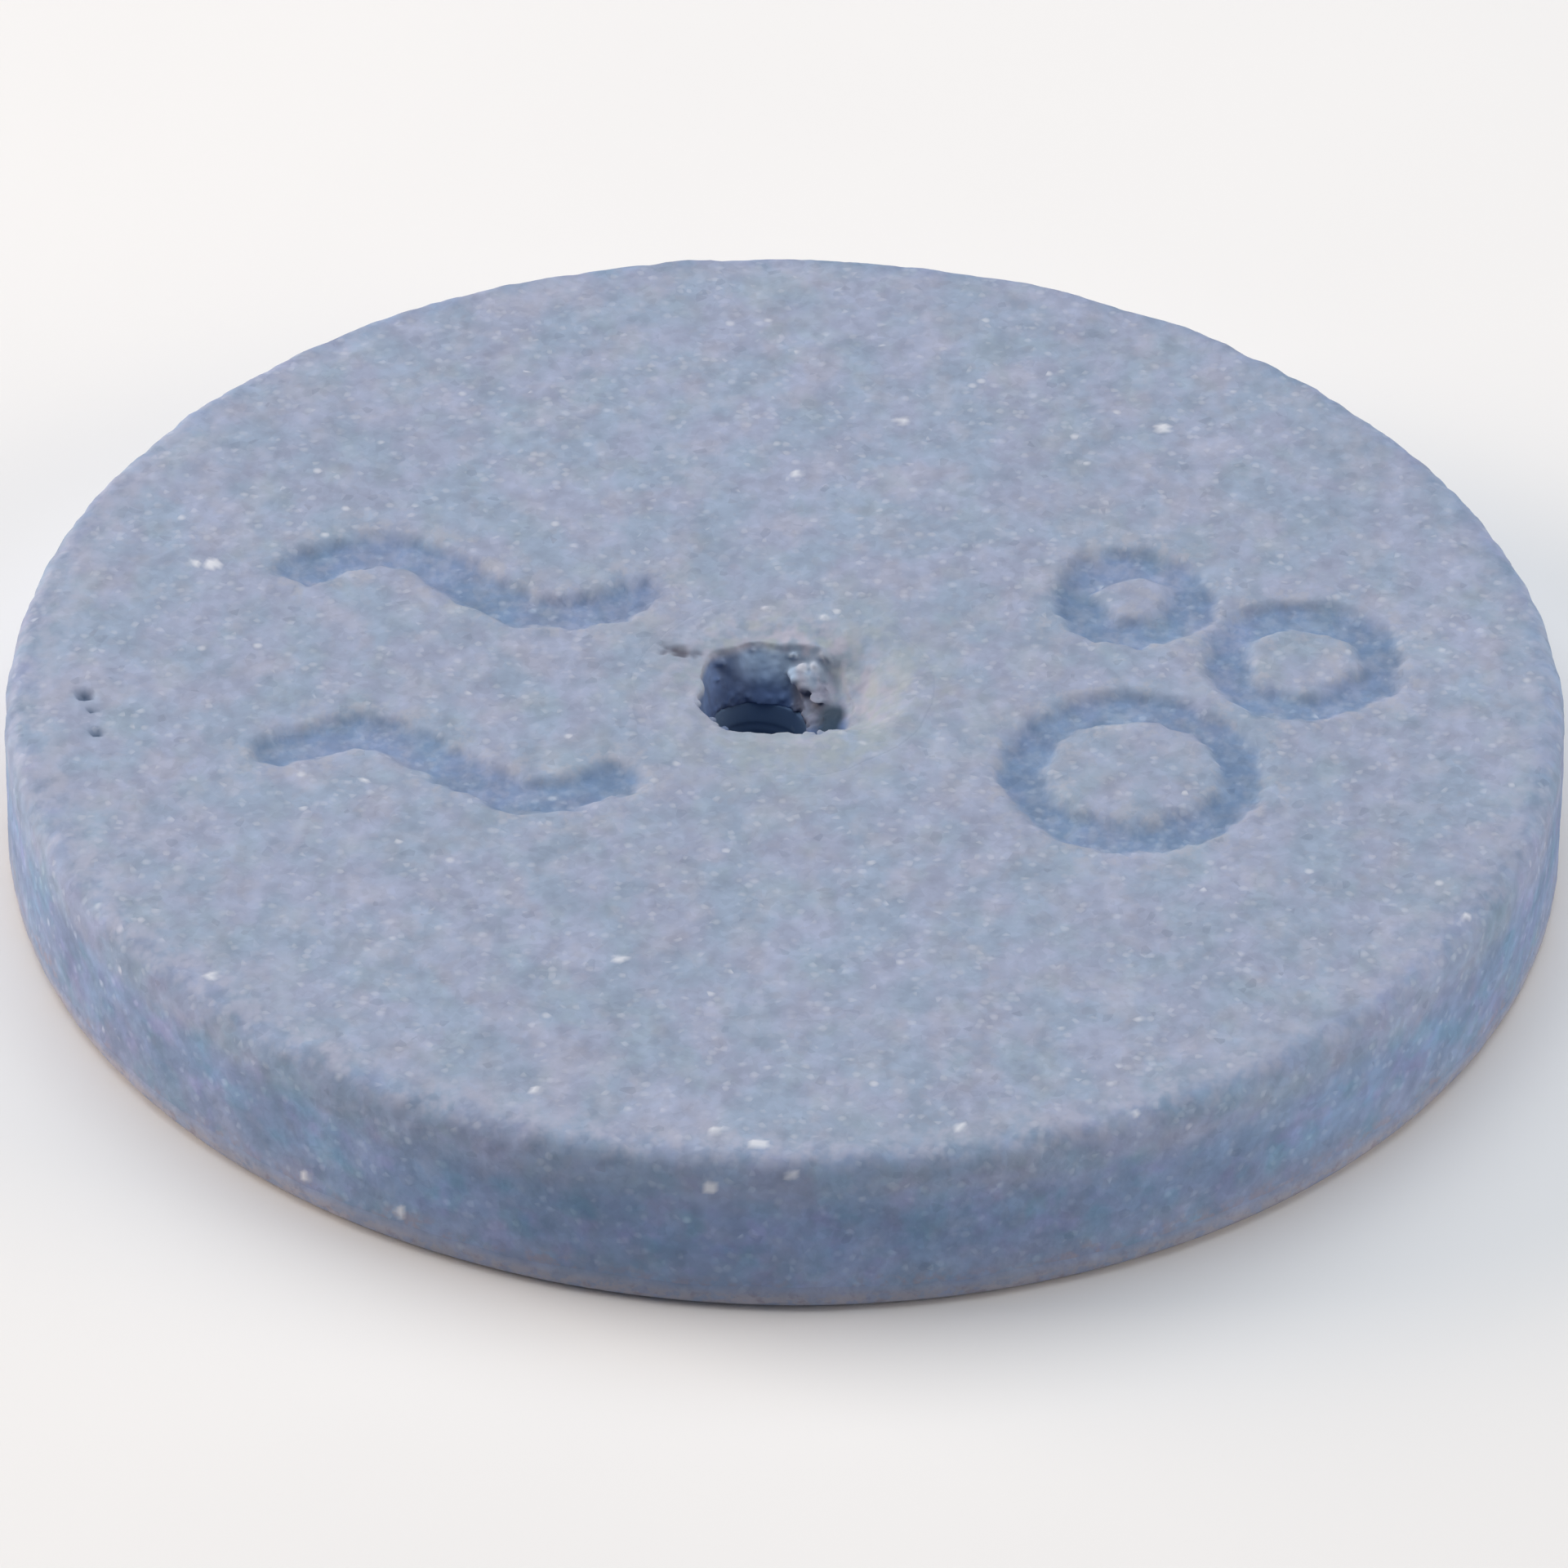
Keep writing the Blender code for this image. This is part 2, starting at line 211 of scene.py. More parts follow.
def grain_field(points, size, salt):
    """Distance to the nearest grain centre, in grain sizes, and that grain's own random number."""
    scaled = points / size + 1000.0
    base = np.floor(scaled).astype(np.int64)
    nearest = np.full(len(points), 9.0)
    own = np.zeros(len(points))
    for number in range(27):
        offset = np.array([number % 3, number // 3 % 3, number // 9]) - 1
        cells = base + offset
        centres = cells + np.stack([lattice_random(cells, salt + k) for k in range(3)], axis=1)
        distance = np.linalg.norm(centres - scaled, axis=1)
        closer = distance < nearest
        nearest[closer] = distance[closer]
        own[closer] = lattice_random(cells[closer], salt + 3)
    return nearest, own


def ramp(value, low, high):
    """Smooth step from 0 at low to 1 at high; low may be the larger."""
    share = np.clip((value - low) / (high - low), 0.0, 1.0)
    return share * share * (3.0 - 2.0 * share)


# ---- shape of the surface


def bearing(points):
    """Direction of each point seen from the disc's axis, in radians from the right."""
    return np.arctan2(points[:, 1], points[:, 0])


def facing(angle, towards):
    """From 0 for points on the far side to 1 for points in the direction given."""
    return 0.5 + 0.5 * np.cos(angle - towards)


def mark_distance(x, y):
    """Distance from each point of the top face to the nearest pressed stroke; negative inside one."""
    nearest = np.full(len(x), 99.0)
    phase = math.tau / WAVE_LENGTH
    reach = WAVE_LENGTH / 2.0 - WAVE_HALF_STROKE / 2.0
    for along in np.linspace(-reach, reach, WAVE_STEPS):
        rise = -WAVE_HEIGHT * math.sin(phase * along)
        for row_y in WAVE_ROWS_Y:
            away = np.hypot(x - WAVE_CENTRE_X - along, y - row_y - rise)
            nearest = np.minimum(nearest, away - WAVE_HALF_STROKE)
    for centre_x, centre_y, ring_radius in BUBBLES:
        away = np.abs(np.hypot(x - centre_x, y - centre_y) - ring_radius)
        nearest = np.minimum(nearest, away - BUBBLE_HALF_STROKE)
    return nearest


def grain_relief(points, strength=1.0):
    """Height of the bonded grains over the smooth form: domes of two sizes and a soft unevenness."""
    near_big, own_big = grain_field(points, BIG_GRAIN, 11)
    near_small, own_small = grain_field(points, SMALL_GRAIN, 23)
    big = (0.45 - near_big) * (0.35 + 0.65 * own_big)
    small = (0.45 - near_small) * (0.4 + 0.6 * own_small)
    return strength * (0.06 * big + 0.05 * small + 0.03 * layered_noise(points, 1.9, 2, 31))


def pale_share(points, grains):
    """How far each point belongs to one of the large pale grains."""
    share = np.zeros(len(points))
    ragged = 0.2 * smooth_noise(points, 0.5, 65)
    for x, y, depth, radius in grains:
        away = np.linalg.norm(points - (x, y, TOP - depth), axis=1) + ragged
        share = np.maximum(share, ramp(away, radius + 0.15, radius - 0.15))
    return share


def slow_relief(points):
    """Unevenness of a hand-filled mould."""
    return 0.05 * smooth_noise(points, 9.0, 41) + 0.03 * smooth_noise(points, 4.0, 43)


def side_radius(z):
    """Radius of the stone's wall, which tucks in a little under the coat."""
    return RADIUS - COAT_TUCK * ramp(z, COAT_LAP + 0.6, COAT_LAP - 1.0)


def coat_radius(z):
    """Radius of the coat's wall, which runs out into the stone at its upper edge."""
    return RADIUS + 0.03 - COAT_TUCK * ramp(z, COAT_LAP - 0.2, COAT_LAP + 1.2)


def seam_radius(points):
    """Where the collar's skin meets the stone's, as an uneven ring round the inlet."""
    angle = bearing(points)
    on_ring = np.stack([np.cos(angle), np.sin(angle), np.zeros(len(angle))], axis=1) * SEAM_RADIUS
    return SEAM_RADIUS + 0.35 * layered_noise(on_ring, 4.0, 2, 141)


def resin_stain(points):
    """How far resin has soaked the top face round the inlet, mostly to the right and in front."""
    radial = np.hypot(points[:, 0], points[:, 1]) + 1.6 * layered_noise(points * (1.0, 1.0, 0.0), 3.0, 2, 81)
    return ramp(radial, 13.0, 7.0) * (0.25 + 0.75 * facing(bearing(points), -0.6))


def funnel_at(z):
    """Centre and radius of the inlet's tapered bore at a height."""
    share = np.clip((z - THROAT_Z) / (TOP - THROAT_Z), 0.0, 1.0)
    centre = (INLET_X + (MOUTH_CENTRE[0] - INLET_X) * share, MOUTH_CENTRE[1] * share)
    return centre, THROAT_RADIUS + (MOUTH_RADIUS - THROAT_RADIUS) * share


def ledge_top(x, y):
    """Height of the crumbled ledge on the right of the bore: high at the back, a pocket at the front."""
    return TOP - LEDGE_DEPTH + LEDGE_SLOPE * (y - 2.0) + 0.10 * (x - 3.5)


# ---- mesh building


def ring_counts(radii, finest):
    """Points on each ring: halved towards the centre so that the facets keep a similar size."""
    counts = []
    for radius in radii:
        count = finest
        while count > FEWEST_RING_POINTS and radius / count < 0.62 * RADIUS / finest:
            count //= 2
        counts.append(count)
    return counts


def bridge(start_a, count_a, start_b, count_b):
    """Faces between two rings with as many points, or with twice as many on one of them."""
    if count_a == count_b:
        j = np.arange(count_a)
        k = (j + 1) % count_a
        return [np.stack([start_a + j, start_a + k, start_b + k, start_b + j], axis=1)], []
    flip = count_a < count_b
    if flip:
        start_a, count_a, start_b, count_b = start_b, count_b, start_a, count_a
    j = np.arange(count_b)
    fine = 2 * j
    a0, a1, a2 = start_a + fine, start_a + fine + 1, start_a + (fine + 2) % count_a
    b0, b1 = start_b + j, start_b + (j + 1) % count_b
    triangles = [np.stack(corners, axis=1) for corners in ((a0, a1, b0), (a1, b1, b0), (a1, a2, b1))]
    if flip:
        triangles = [t[:, ::-1] for t in triangles]
    return [], triangles


def ring(radius, height, count):
    """Evenly spaced points of a level circle round the disc's axis."""
    angle = math.tau * np.arange(count) / count
    return np.stack([radius * np.cos(angle), radius * np.sin(angle), np.full(count, height)], axis=1)


def turned_grid(profile, finest, closed=True):
    """Rings of points along a turned (radius, height) profile, and the faces between them.

    Returns points, quads, triangles and, for each point, the number of its ring.
    """
    profile = np.asarray(profile)
    counts = ring_counts(profile[:, 0], finest)
    points, ring_of, starts = [], [], []
    total = 0
    for number, ((radius, height), count) in enumerate(zip(profile, counts)):
        points.append(ring(radius, height, count))
        ring_of.append(np.full(count, number))
        starts.append(total)
        total += count
    quads, triangles = [], []
    last = len(profile) if closed else len(profile) - 1
    for number in range(last):
        other = (number + 1) % len(profile)
        more_quads, more_triangles = bridge(starts[number], counts[number], starts[other], counts[other])
        quads += more_quads
        triangles += more_triangles
    return np.concatenate(points), quads, triangles, np.concatenate(ring_of)


def rounded(points, radius, steps=4):
    """An open polyline whose inner corners are replaced by short curves."""
    points = np.asarray(points, float)
    result = [points[0]]
    for before, corner, after in zip(points, points[1:], points[2:]):
        arms = (before - corner, after - corner)
        lengths = [np.linalg.norm(arm) for arm in arms]
        cut = min(radius, min(lengths) / 2.2)
        enter, leave = (corner + arm / length * cut for arm, length in zip(arms, lengths))
        for step in range(steps + 1):
            t = step / steps
            result.append((1 - t) ** 2 * enter + 2 * t * (1 - t) * corner + t**2 * leave)
    result.append(points[-1])
    return np.array(result)


def filled(points, spacing):
    """The same polyline with points added so that no gap is longer than spacing."""
    result = [points[0]]
    for start, end in zip(points, points[1:]):
        pieces = max(1, int(math.ceil(np.linalg.norm(np.subtract(end, start)) / spacing)))
        for step in range(1, pieces + 1):
            result.append(np.add(start, np.subtract(end, start) * step / pieces))
    return np.array(result)


def new_object(name, data):
    thing = bpy.data.objects.new(name, data)
    bpy.context.scene.collection.objects.link(thing)
    return thing


def make_piece(name, points, quads, triangles, material):
    """A smooth-shaded object from points in millimetres."""
    faces = [row for block in (*quads, *triangles) for row in block.tolist()]
    mesh = bpy.data.meshes.new(name)
    mesh.from_pydata((points * MM).tolist(), [], faces)
    mesh.validate()
    mesh.shade_smooth()
    mesh.materials.append(material)
    piece = new_object(name, mesh)
    return piece


def face_outwards(piece):
    builder = bmesh.new()
    builder.from_mesh(piece.data)
    bmesh.ops.recalc_face_normals(builder, faces=builder.faces)
    builder.to_mesh(piece.data)
    builder.free()


def read_vectors(collection, key):
    values = np.empty(len(collection) * 3)
    collection.foreach_get(key, values)
    return values.reshape(-1, 3)


def point_normals(piece):
    return read_vectors(piece.data.vertex_normals, "vector")


def get_points(piece):
    return read_vectors(piece.data.vertices, "co") / MM


def set_points(piece, points):
    piece.data.vertices.foreach_set("co", (points * MM).ravel())
    piece.data.update()


def store(piece, **numbers):
    """Numbers for each point that the material can read by name."""
    for name, values in numbers.items():
        attribute = piece.data.attributes.new(name, "FLOAT", "POINT")
        attribute.data.foreach_set("value", np.asarray(values, np.float32))


def lay_out(piece, zone_of_point):
    """Texture places: zone 0 seen from above, zone 1 as strips of wall, zone 2 from below."""
    mesh = piece.data
    points = get_points(piece)
    starts = np.empty(len(mesh.polygons), np.int32)
    totals = np.empty(len(mesh.polygons), np.int32)
    corners = np.empty(len(mesh.loops), np.int32)
    mesh.polygons.foreach_get("loop_start", starts)
    mesh.polygons.foreach_get("loop_total", totals)
    mesh.loops.foreach_get("vertex_index", corners)
    face_of_corner = np.repeat(np.arange(len(starts)), totals)
    zone = np.minimum.reduceat(zone_of_point[corners], starts)[face_of_corner]
    place = points[corners]
    middle = np.add.reduceat(place, starts, axis=0) / totals[:, None]
    middle = middle[face_of_corner]
    turn = bearing(middle) / math.tau + 0.5
    strip = np.clip(np.floor(turn * STRIPS), 0, STRIPS - 1)
    own_turn = bearing(place) / math.tau + 0.5
    own_turn = turn + (own_turn - turn + 0.5) % 1.0 - 0.5
    reach = np.abs(points[:, :2]).max()
    height = max(float(np.ptp(points[:, 2])), 1e-6)
    flat = place[:, :2] / reach / 2.0 + 0.5
    above = LAYOUT_MARGIN + ABOVE_SPAN * flat
    below = STRIPS_START + BELOW_SPAN * flat
    below[:, 1] -= BELOW_SPAN
    climb = (place[:, 2] - points[:, 2].min()) / height
    along = LAYOUT_MARGIN + STRIP_LENGTH * (own_turn * STRIPS - strip)
    wall = np.stack([along, STRIPS_START + STRIP_PITCH * strip + STRIP_HEIGHT * climb], axis=1)
    layout = np.where(zone[:, None] == 0, above, np.where(zone[:, None] == 1, wall, below))
    layer = mesh.uv_layers.new(name="OFBake")
    layer.data.foreach_set("uv", layout.astype(np.float32).ravel())


# ---- materials


class Shader:
    """A material's node tree, with short calls to add and link nodes."""

    def __init__(self, name):
        self.material = bpy.data.materials.new(name)
        self.material.use_nodes = True
        self.tree = self.material.node_tree
        self.out = self.tree.nodes["Principled BSDF"]
        place = self.add("TexCoord").outputs["Object"]
        in_mm = self.add("VectorMath", {0: place, "Scale": 1.0 / MM}, operation="SCALE")
        self.place = in_mm.outputs[0]

    def add(self, kind, inputs=None, **settings):
        node = self.tree.nodes.new("ShaderNode" + kind)
        for key, value in settings.items():
            setattr(node, key, value)
        for key, value in (inputs or {}).items():
            self.put(node.inputs[key], value)
        return node

    def put(self, socket, value):
        if isinstance(value, bpy.types.NodeSocket):
            self.tree.links.new(value, socket)
        else:
            socket.default_value = value

    def attribute(self, name):
        return self.add("Attribute", attribute_name=name).outputs["Fac"]

    def noise(self, size, detail=2.0, roughness=0.5, shift=0.0):
        moved = {0: self.place, 1: (1.0, 0.75, 1.0), 2: (shift, shift, shift)}
        place = self.add("VectorMath", moved, operation="MULTIPLY_ADD").outputs[0]
        inputs = {"Vector": place, "Scale": 1.0 / size, "Detail": detail, "Roughness": roughness}
        return self.add("TexNoise", inputs).outputs["Fac"]

    def cells(self, size):
        """Distance to the nearest grain centre, and three random numbers for that grain."""
        node = self.add("TexVoronoi", {"Vector": self.place, "Scale": 1.0 / size})
        split = self.add("SeparateColor", {"Color": node.outputs["Color"]})
        return node.outputs["Distance"], split.outputs[0], split.outputs[1], split.outputs[2]

    def between(self, value, low, high, to_low=0.0, to_high=1.0):
        inputs = {"Value": value, "From Min": low, "From Max": high, "To Min": to_low, "To Max": to_high}
        return self.add("MapRange", inputs, interpolation_type="SMOOTHSTEP").outputs["Result"]

    def calc(self, operation, first, second):
        return self.add("Math", {0: first, 1: second}, operation=operation).outputs[0]

    def times(self, first, second):
        return self.calc("MULTIPLY", first, second)

    def mix(self, share, first, second, blend="MIX"):
        node = self.add("Mix", data_type="RGBA", blend_type=blend)
        self.put(node.inputs[0], share)
        self.put(node.inputs[6], as_colour(first))
        self.put(node.inputs[7], as_colour(second))
        return node.outputs[2]

    def tint(self, colour, by):
        return self.mix(1.0, colour, by, "MULTIPLY")

    def scale_colour(self, colour, factor):
        grey = self.add("CombineColor", {0: factor, 1: factor, 2: factor}).outputs[0]
        return self.tint(colour, grey)

    def stretched_noise(self, stretch, scale, detail):
        """Noise drawn out by its own factor along each axis."""
        place = self.add("VectorMath", {0: self.place, 1: stretch}, operation="MULTIPLY")
        inputs = {"Vector": place.outputs[0], "Scale": scale, "Detail": detail}
        return self.add("TexNoise", inputs).outputs["Fac"]

    def painted(self, colour, paint, zone, share):
        """The colour with paint over it where a point attribute says, as far as share allows."""
        return self.mix(self.times(self.attribute(zone), share), colour, paint)

    def bump(self, height, depth, strength=1.0, under=None):
        node = self.add("Bump", {"Height": height, "Distance": depth * MM, "Strength": strength})
        if under is not None:
            self.put(node.inputs["Normal"], under)
        return node.outputs["Normal"]

    def finish(self, colour, roughness, normal=None, specular=0.3):
        self.put(self.out.inputs["Base Color"], colour)
        self.put(self.out.inputs["Roughness"], roughness)
        self.put(self.out.inputs["Specular IOR Level"], specular)
        if normal is not None:
            self.put(self.out.inputs["Normal"], normal)
        return self.material


def as_colour(value):
    return (*value, 1.0) if isinstance(value, tuple) and len(value) == 3 else value


BLUE = (0.281, 0.354, 0.482)
LILAC = (0.315, 0.362, 0.500)
PINK_TAN = (0.415, 0.410, 0.480)
SEA_GREEN = (0.308, 0.395, 0.455)
PRESSED_TINT = (0.61, 0.73, 0.86)
# Painted shade: the side wall's colour is multiplied by this, darker and bluer than the top
WALL_SHADE_TINT = (0.67, 0.78, 0.93)
WALL_TEAL = (0.80, 1.02, 0.98)
WALL_PURPLE = (1.10, 0.96, 1.06)
WORN = (0.415, 0.440, 0.560)
HALO = (0.385, 0.405, 0.480)
WHITE_GRAIN = (0.720, 0.750, 0.820)
DARK_GRAIN = (0.150, 0.190, 0.270)
PIT_SHADE = (0.080, 0.120, 0.190)
RESIN_STAIN = (0.345, 0.400, 0.420)
CRUMB_PINK = (0.430, 0.425, 0.520)
# Painted light and shade inside the inlet: lit and shaded bore colours, the pocket and the ledge
HOLE_LIT_BLUE = (0.430, 0.580, 0.780)
HOLE_SHADE = (0.055, 0.108, 0.270)
POCKET_SHADE = (0.026, 0.050, 0.080)
LEDGE_SHADE = (0.150, 0.150, 0.215)
BAND_PURPLE = (0.290, 0.270, 0.335)
COAT_LIGHT = (0.350, 0.350, 0.425)
COAT_DARK = (0.300, 0.318, 0.400)
COAT_SPECK = (0.215, 0.195, 0.250)
CRACK_BROWN = (0.075, 0.065, 0.090)
RUBBER = (0.130, 0.205, 0.345)
RUBBER_DUST = (0.180, 0.270, 0.410)
PLASTIC_DARK = (0.040, 0.066, 0.110)
PLASTIC_LIGHT = (0.060, 0.092, 0.145)
PLASTIC_SCUFF = (0.170, 0.210, 0.280)
PLATE_DARK = (0.240, 0.275, 0.345)
PLATE_LIGHT = (0.285, 0.310, 0.375)
RESIN_THIN = (0.460, 0.440, 0.300)
RESIN_THICK = (0.360, 0.360, 0.270)
RESIN_BUBBLE = (0.620, 0.620, 0.550)
FLOOR_DARK = (0.845, 0.850, 0.858)
FLOOR_LIGHT = (0.860, 0.864, 0.870)

# Mottling of the grain: size, how far it lightens and darkens, place of its noise
MOTTLING = ((0.7, 0.022, 17.0), (1.1, 0.048, 19.0), (1.9, 0.071, 21.0))


def grain_colours(shader):
    """Colour of loose mixed grain: a blue ground with soft patches and single light and dark grains; the
    rarest near-white grains are partly pale grains and partly painted glints.
    """
    cloud = shader.between(shader.noise(14.0, 2.0, 0.5, 3.0), 0.35, 0.65, 0.975, 1.025)
    patches = shader.between(shader.noise(4.0, 3.0), 0.38, 0.62)
    colour = shader.scale_colour(shader.mix(patches, BLUE, LILAC), cloud)
    warm = shader.between(shader.noise(2.3, 2.0, 0.5, 13.0), 0.48, 0.70, 0.0, 0.27)
    colour = shader.mix(warm, colour, PINK_TAN)
    cool = shader.between(shader.noise(2.5, 2.0, 0.5, 37.0), 0.50, 0.70, 0.0, 0.24)
    colour = shader.mix(cool, colour, SEA_GREEN)
    for size, depth, shift in MOTTLING:
        factor = shader.between(shader.noise(size, 1.0, 0.5, shift), 0.28, 0.72, 1.0 - depth, 1.0 + depth)
        colour = shader.scale_colour(colour, factor)
    near, tone, kind, hue = shader.cells(0.60)
    colour = shader.scale_colour(colour, shader.between(tone, 0.0, 1.0, 0.960, 1.040))
    colour = shader.mix(shader.between(hue, 0.80, 1.0, 0.0, 0.12), colour, PINK_TAN)
    fine_near, fine_tone, fine_kind, _ = shader.cells(0.50)
    colour = shader.scale_colour(colour, shader.between(fine_tone, 0.0, 1.0, 0.98, 1.02))
    soft_spot = shader.between(fine_near, 0.85, 0.20)
    dot = shader.times(shader.between(fine_kind, 0.82, 0.98, 0.0, 0.20), soft_spot)
    colour = shader.mix(dot, colour, WHITE_GRAIN)
    # Rare near-white grains: partly pale grains, partly painted glints; they also get a lower roughness
    round_spot = shader.between(near, 0.70, 0.15)
    light = shader.times(shader.between(kind, 0.990, 0.999, 0.0, 0.50), round_spot)
    colour = shader.mix(light, colour, WHITE_GRAIN)
    colour = shader.mix(shader.between(kind, 0.04, 0.01, 0.0, 0.20), colour, DARK_GRAIN)
    return colour, light


def add_stain(shader, colour):
    share = shader.between(shader.noise(1.8, 3.0, 0.6, 91.0), 0.35, 0.62, 0.10, 0.60)
    return shader.painted(colour, RESIN_STAIN, "stained", share)


def grain_bump(shader):
    inputs = {"Vector": shader.place, "Scale": 1.0 / 0.36}
    edge = shader.add("TexVoronoi", inputs, feature="SMOOTH_F1").outputs["Distance"]
    domes = shader.times(edge, -1.0)
    normal = shader.bump(domes, 0.04, 0.5)
    return shader.bump(shader.noise(0.16, 2.0, 0.6, 5.0), 0.015, 0.4, normal)


def stone_look():
    shader = Shader("bonded_blue_grain")
    colour, light = grain_colours(shader)
    pressed = shader.tint(colour, PRESSED_TINT)
    patchy = shader.between(shader.noise(1.0, 3.0, 0.6, 79.0), 0.38, 0.60, 0.60, 1.0)
    colour = shader.painted(colour, pressed, "pressed", patchy)
    ragged = shader.between(shader.noise(1.2, 3.0, 0.6, 83.0), 0.48, 0.66, 0.0, 0.55)
    colour = shader.painted(colour, HALO, "beside", ragged)
    # Painted shade on the side wall: a darker, bluer copy of the grain colour with random patches, laid on
    # where the wall attribute says
    shaded_wall = shader.tint(colour, WALL_SHADE_TINT)
    weathered = shader.between(shader.noise(7.0, 3.0, 0.6, 47.0), 0.32, 0.68, 0.90, 1.10)
    shaded_wall = shader.scale_colour(shaded_wall, weathered)
    teal = shader.between(shader.noise(2.6, 2.0, 0.5, 53.0), 0.50, 0.68, 0.0, 0.65)
    shaded_wall = shader.mix(teal, shaded_wall, shader.tint(shaded_wall, WALL_TEAL))
    purple = shader.between(shader.noise(2.2, 2.0, 0.5, 57.0), 0.50, 0.68, 0.0, 0.65)
    shaded_wall = shader.mix(purple, shaded_wall, shader.tint(shaded_wall, WALL_PURPLE))
    colour = shader.mix(shader.attribute("wall"), colour, shaded_wall)
    mottled = shader.between(shader.noise(1.0, 2.0, 0.5, 71.0), 0.36, 0.70, 0.0, 0.62)
    colour = shader.painted(colour, WORN, "worn", mottled)
    colour = add_stain(shader, colour)
    broken = shader.between(shader.noise(0.9, 3.0, 0.6, 97.0), 0.45, 0.62, 0.05, 0.65)
    colour = shader.painted(colour, BAND_PURPLE, "banded", broken)
    colour = shader.painted(colour, PIT_SHADE, "deep", 0.8)
    pale = shader.times(shader.attribute("pale"), 0.8)
    colour = shader.mix(pale, colour, WHITE_GRAIN)
    roughness = shader.between(shader.calc("MAXIMUM", light, pale), 0.0, 0.75, 0.95, 0.50)
    return shader.finish(colour, roughness, grain_bump(shader))


def collar_look():
    shader = Shader("grain_in_resin")
    colour, light = grain_colours(shader)
    colour = add_stain(shader, colour)
    crumbs = shader.between(shader.noise(1.1, 1.5, 0.5, 59.0), 0.40, 0.66, 0.0, 0.80)
    colour = shader.painted(colour, CRUMB_PINK, "lump", crumbs)
    green = shader.between(shader.noise(1.3, 1.5, 0.5, 33.0), 0.48, 0.68, 0.0, 0.65)
    colour = shader.painted(colour, RESIN_STAIN, "lump", green)
    # Painted light and shade in the bore: light blue where the lit mask is high, dark blue where it is low,
    # in up-and-down streaks
    bore_streaks = shader.stretched_noise((1.0, 1.0, 0.12), 0.55, 2.0)
    bore = shader.mix(shader.attribute("lit"), HOLE_SHADE, HOLE_LIT_BLUE)
    bore = shader.scale_colour(bore, shader.between(bore_streaks, 0.35, 0.65, 0.75, 1.25))
    colour = shader.mix(shader.attribute("deep"), colour, bore)
    # Painted shade on the ledge, in patches
    patchy_shade = shader.between(shader.noise(1.0, 2.0, 0.5, 45.0), 0.36, 0.62, 0.45, 0.80)
    colour = shader.painted(colour, LEDGE_SHADE, "ledge", patchy_shade)
    # Painted shade in the pocket under the front of the ledge
    colour = shader.mix(shader.attribute("pocket"), colour, POCKET_SHADE)
    pale = shader.times(shader.attribute("pale"), 0.42)
    colour = shader.mix(pale, colour, WHITE_GRAIN)
    colour = shader.painted(colour, CRACK_BROWN, "crack", 0.85)
    roughness = shader.between(shader.calc("MAXIMUM", light, pale), 0.0, 0.75, 0.95, 0.50)
    return shader.finish(colour, roughness, grain_bump(shader))


def coat_look():
    shader = Shader("sealing_coat")
    patches = shader.between(shader.noise(6.0, 4.0, 0.6), 0.35, 0.65)
    colour = shader.mix(patches, COAT_LIGHT, COAT_DARK)
    drag = shader.stretched_noise((0.06, 0.9, 1.0), 0.9, 4.0)
    colour = shader.scale_colour(colour, shader.between(drag, 0.3, 0.7, 0.96, 1.04))
    specks = shader.between(shader.noise(0.8, 3.0, 0.6, 43.0), 0.52, 0.68, 0.0, 0.55)
    colour = shader.mix(specks, colour, COAT_SPECK)
    grains, _ = grain_colours(shader)
    edge = shader.attribute("edge")
    shows = shader.between(shader.noise(0.9, 3.0, 0.6, 29.0), 0.45, 0.60, 0.0, 0.55)
    shows = shader.calc("MAXIMUM", shows, shader.times(edge, 0.8))
    # The grain that shows at the coat's upper edge gets the same painted wall shade
    colour = shader.mix(shows, colour, shader.tint(grains, WALL_SHADE_TINT))
    roughness = shader.between(patches, 0.0, 1.0, 0.62, 0.80)
    roughness = shader.calc("MAXIMUM", roughness, shader.times(edge, 0.92))
    normal = shader.bump(drag, 0.03, 0.25, grain_bump(shader))
    return shader.finish(colour, roughness, normal)


def rubber_look():
    shader = Shader("soft_rubber")
    dust = shader.between(shader.noise(0.9, 4.0, 0.65), 0.48, 0.70)
    height = shader.add("SeparateXYZ", {0: shader.place}).outputs[2]
    near_stone = shader.between(height, GROMMET_HIGH[2] - 2.6, GROMMET_HIGH[2], 0.10, 0.35)
    dusty = shader.times(shader.between(dust, 0.0, 1.0, 0.7, 1.0), near_stone)
    colour = shader.mix(dusty, RUBBER, RUBBER_DUST)
    _, _, kind, _ = shader.cells(0.3)
    colour = shader.mix(shader.between(kind, 0.95, 0.99, 0.0, 0.25), colour, BLUE)
    roughness = shader.between(dust, 0.0, 1.0, 0.75, 0.95)
    return shader.finish(colour, roughness, shader.bump(shader.noise(0.12, 3.0), 0.01, 0.4), 0.2)


def plastic_look():
    shader = Shader("moulded_plastic")
    cloud = shader.noise(3.0, 3.0)
    colour = shader.mix(shader.between(cloud, 0.35, 0.65), PLASTIC_DARK, PLASTIC_LIGHT)
    scuffs = shader.between(shader.noise(0.5, 4.0, 0.7, 7.0), 0.56, 0.74)
    colour = shader.mix(shader.times(scuffs, 0.3), colour, PLASTIC_SCUFF)
    roughness = shader.between(scuffs, 0.0, 1.0, 0.38, 0.68)
    return shader.finish(colour, roughness, shader.bump(shader.noise(0.2, 3.0), 0.006, 0.4), 0.5)


def plate_look():
    shader = Shader("dense_mineral")
    patches = shader.between(shader.noise(6.0, 4.0), 0.35, 0.65)
    colour = shader.mix(patches, PLATE_DARK, PLATE_LIGHT)
    _, tone, kind, _ = shader.cells(0.28)
    colour = shader.scale_colour(colour, shader.between(tone, 0.0, 1.0, 0.88, 1.12))
    colour = shader.mix(shader.between(kind, 0.97, 0.99, 0.0, 0.6), colour, WHITE_GRAIN)
    return shader.finish(colour, 0.86, shader.bump(shader.noise(0.25, 4.0, 0.6), 0.03, 0.5))


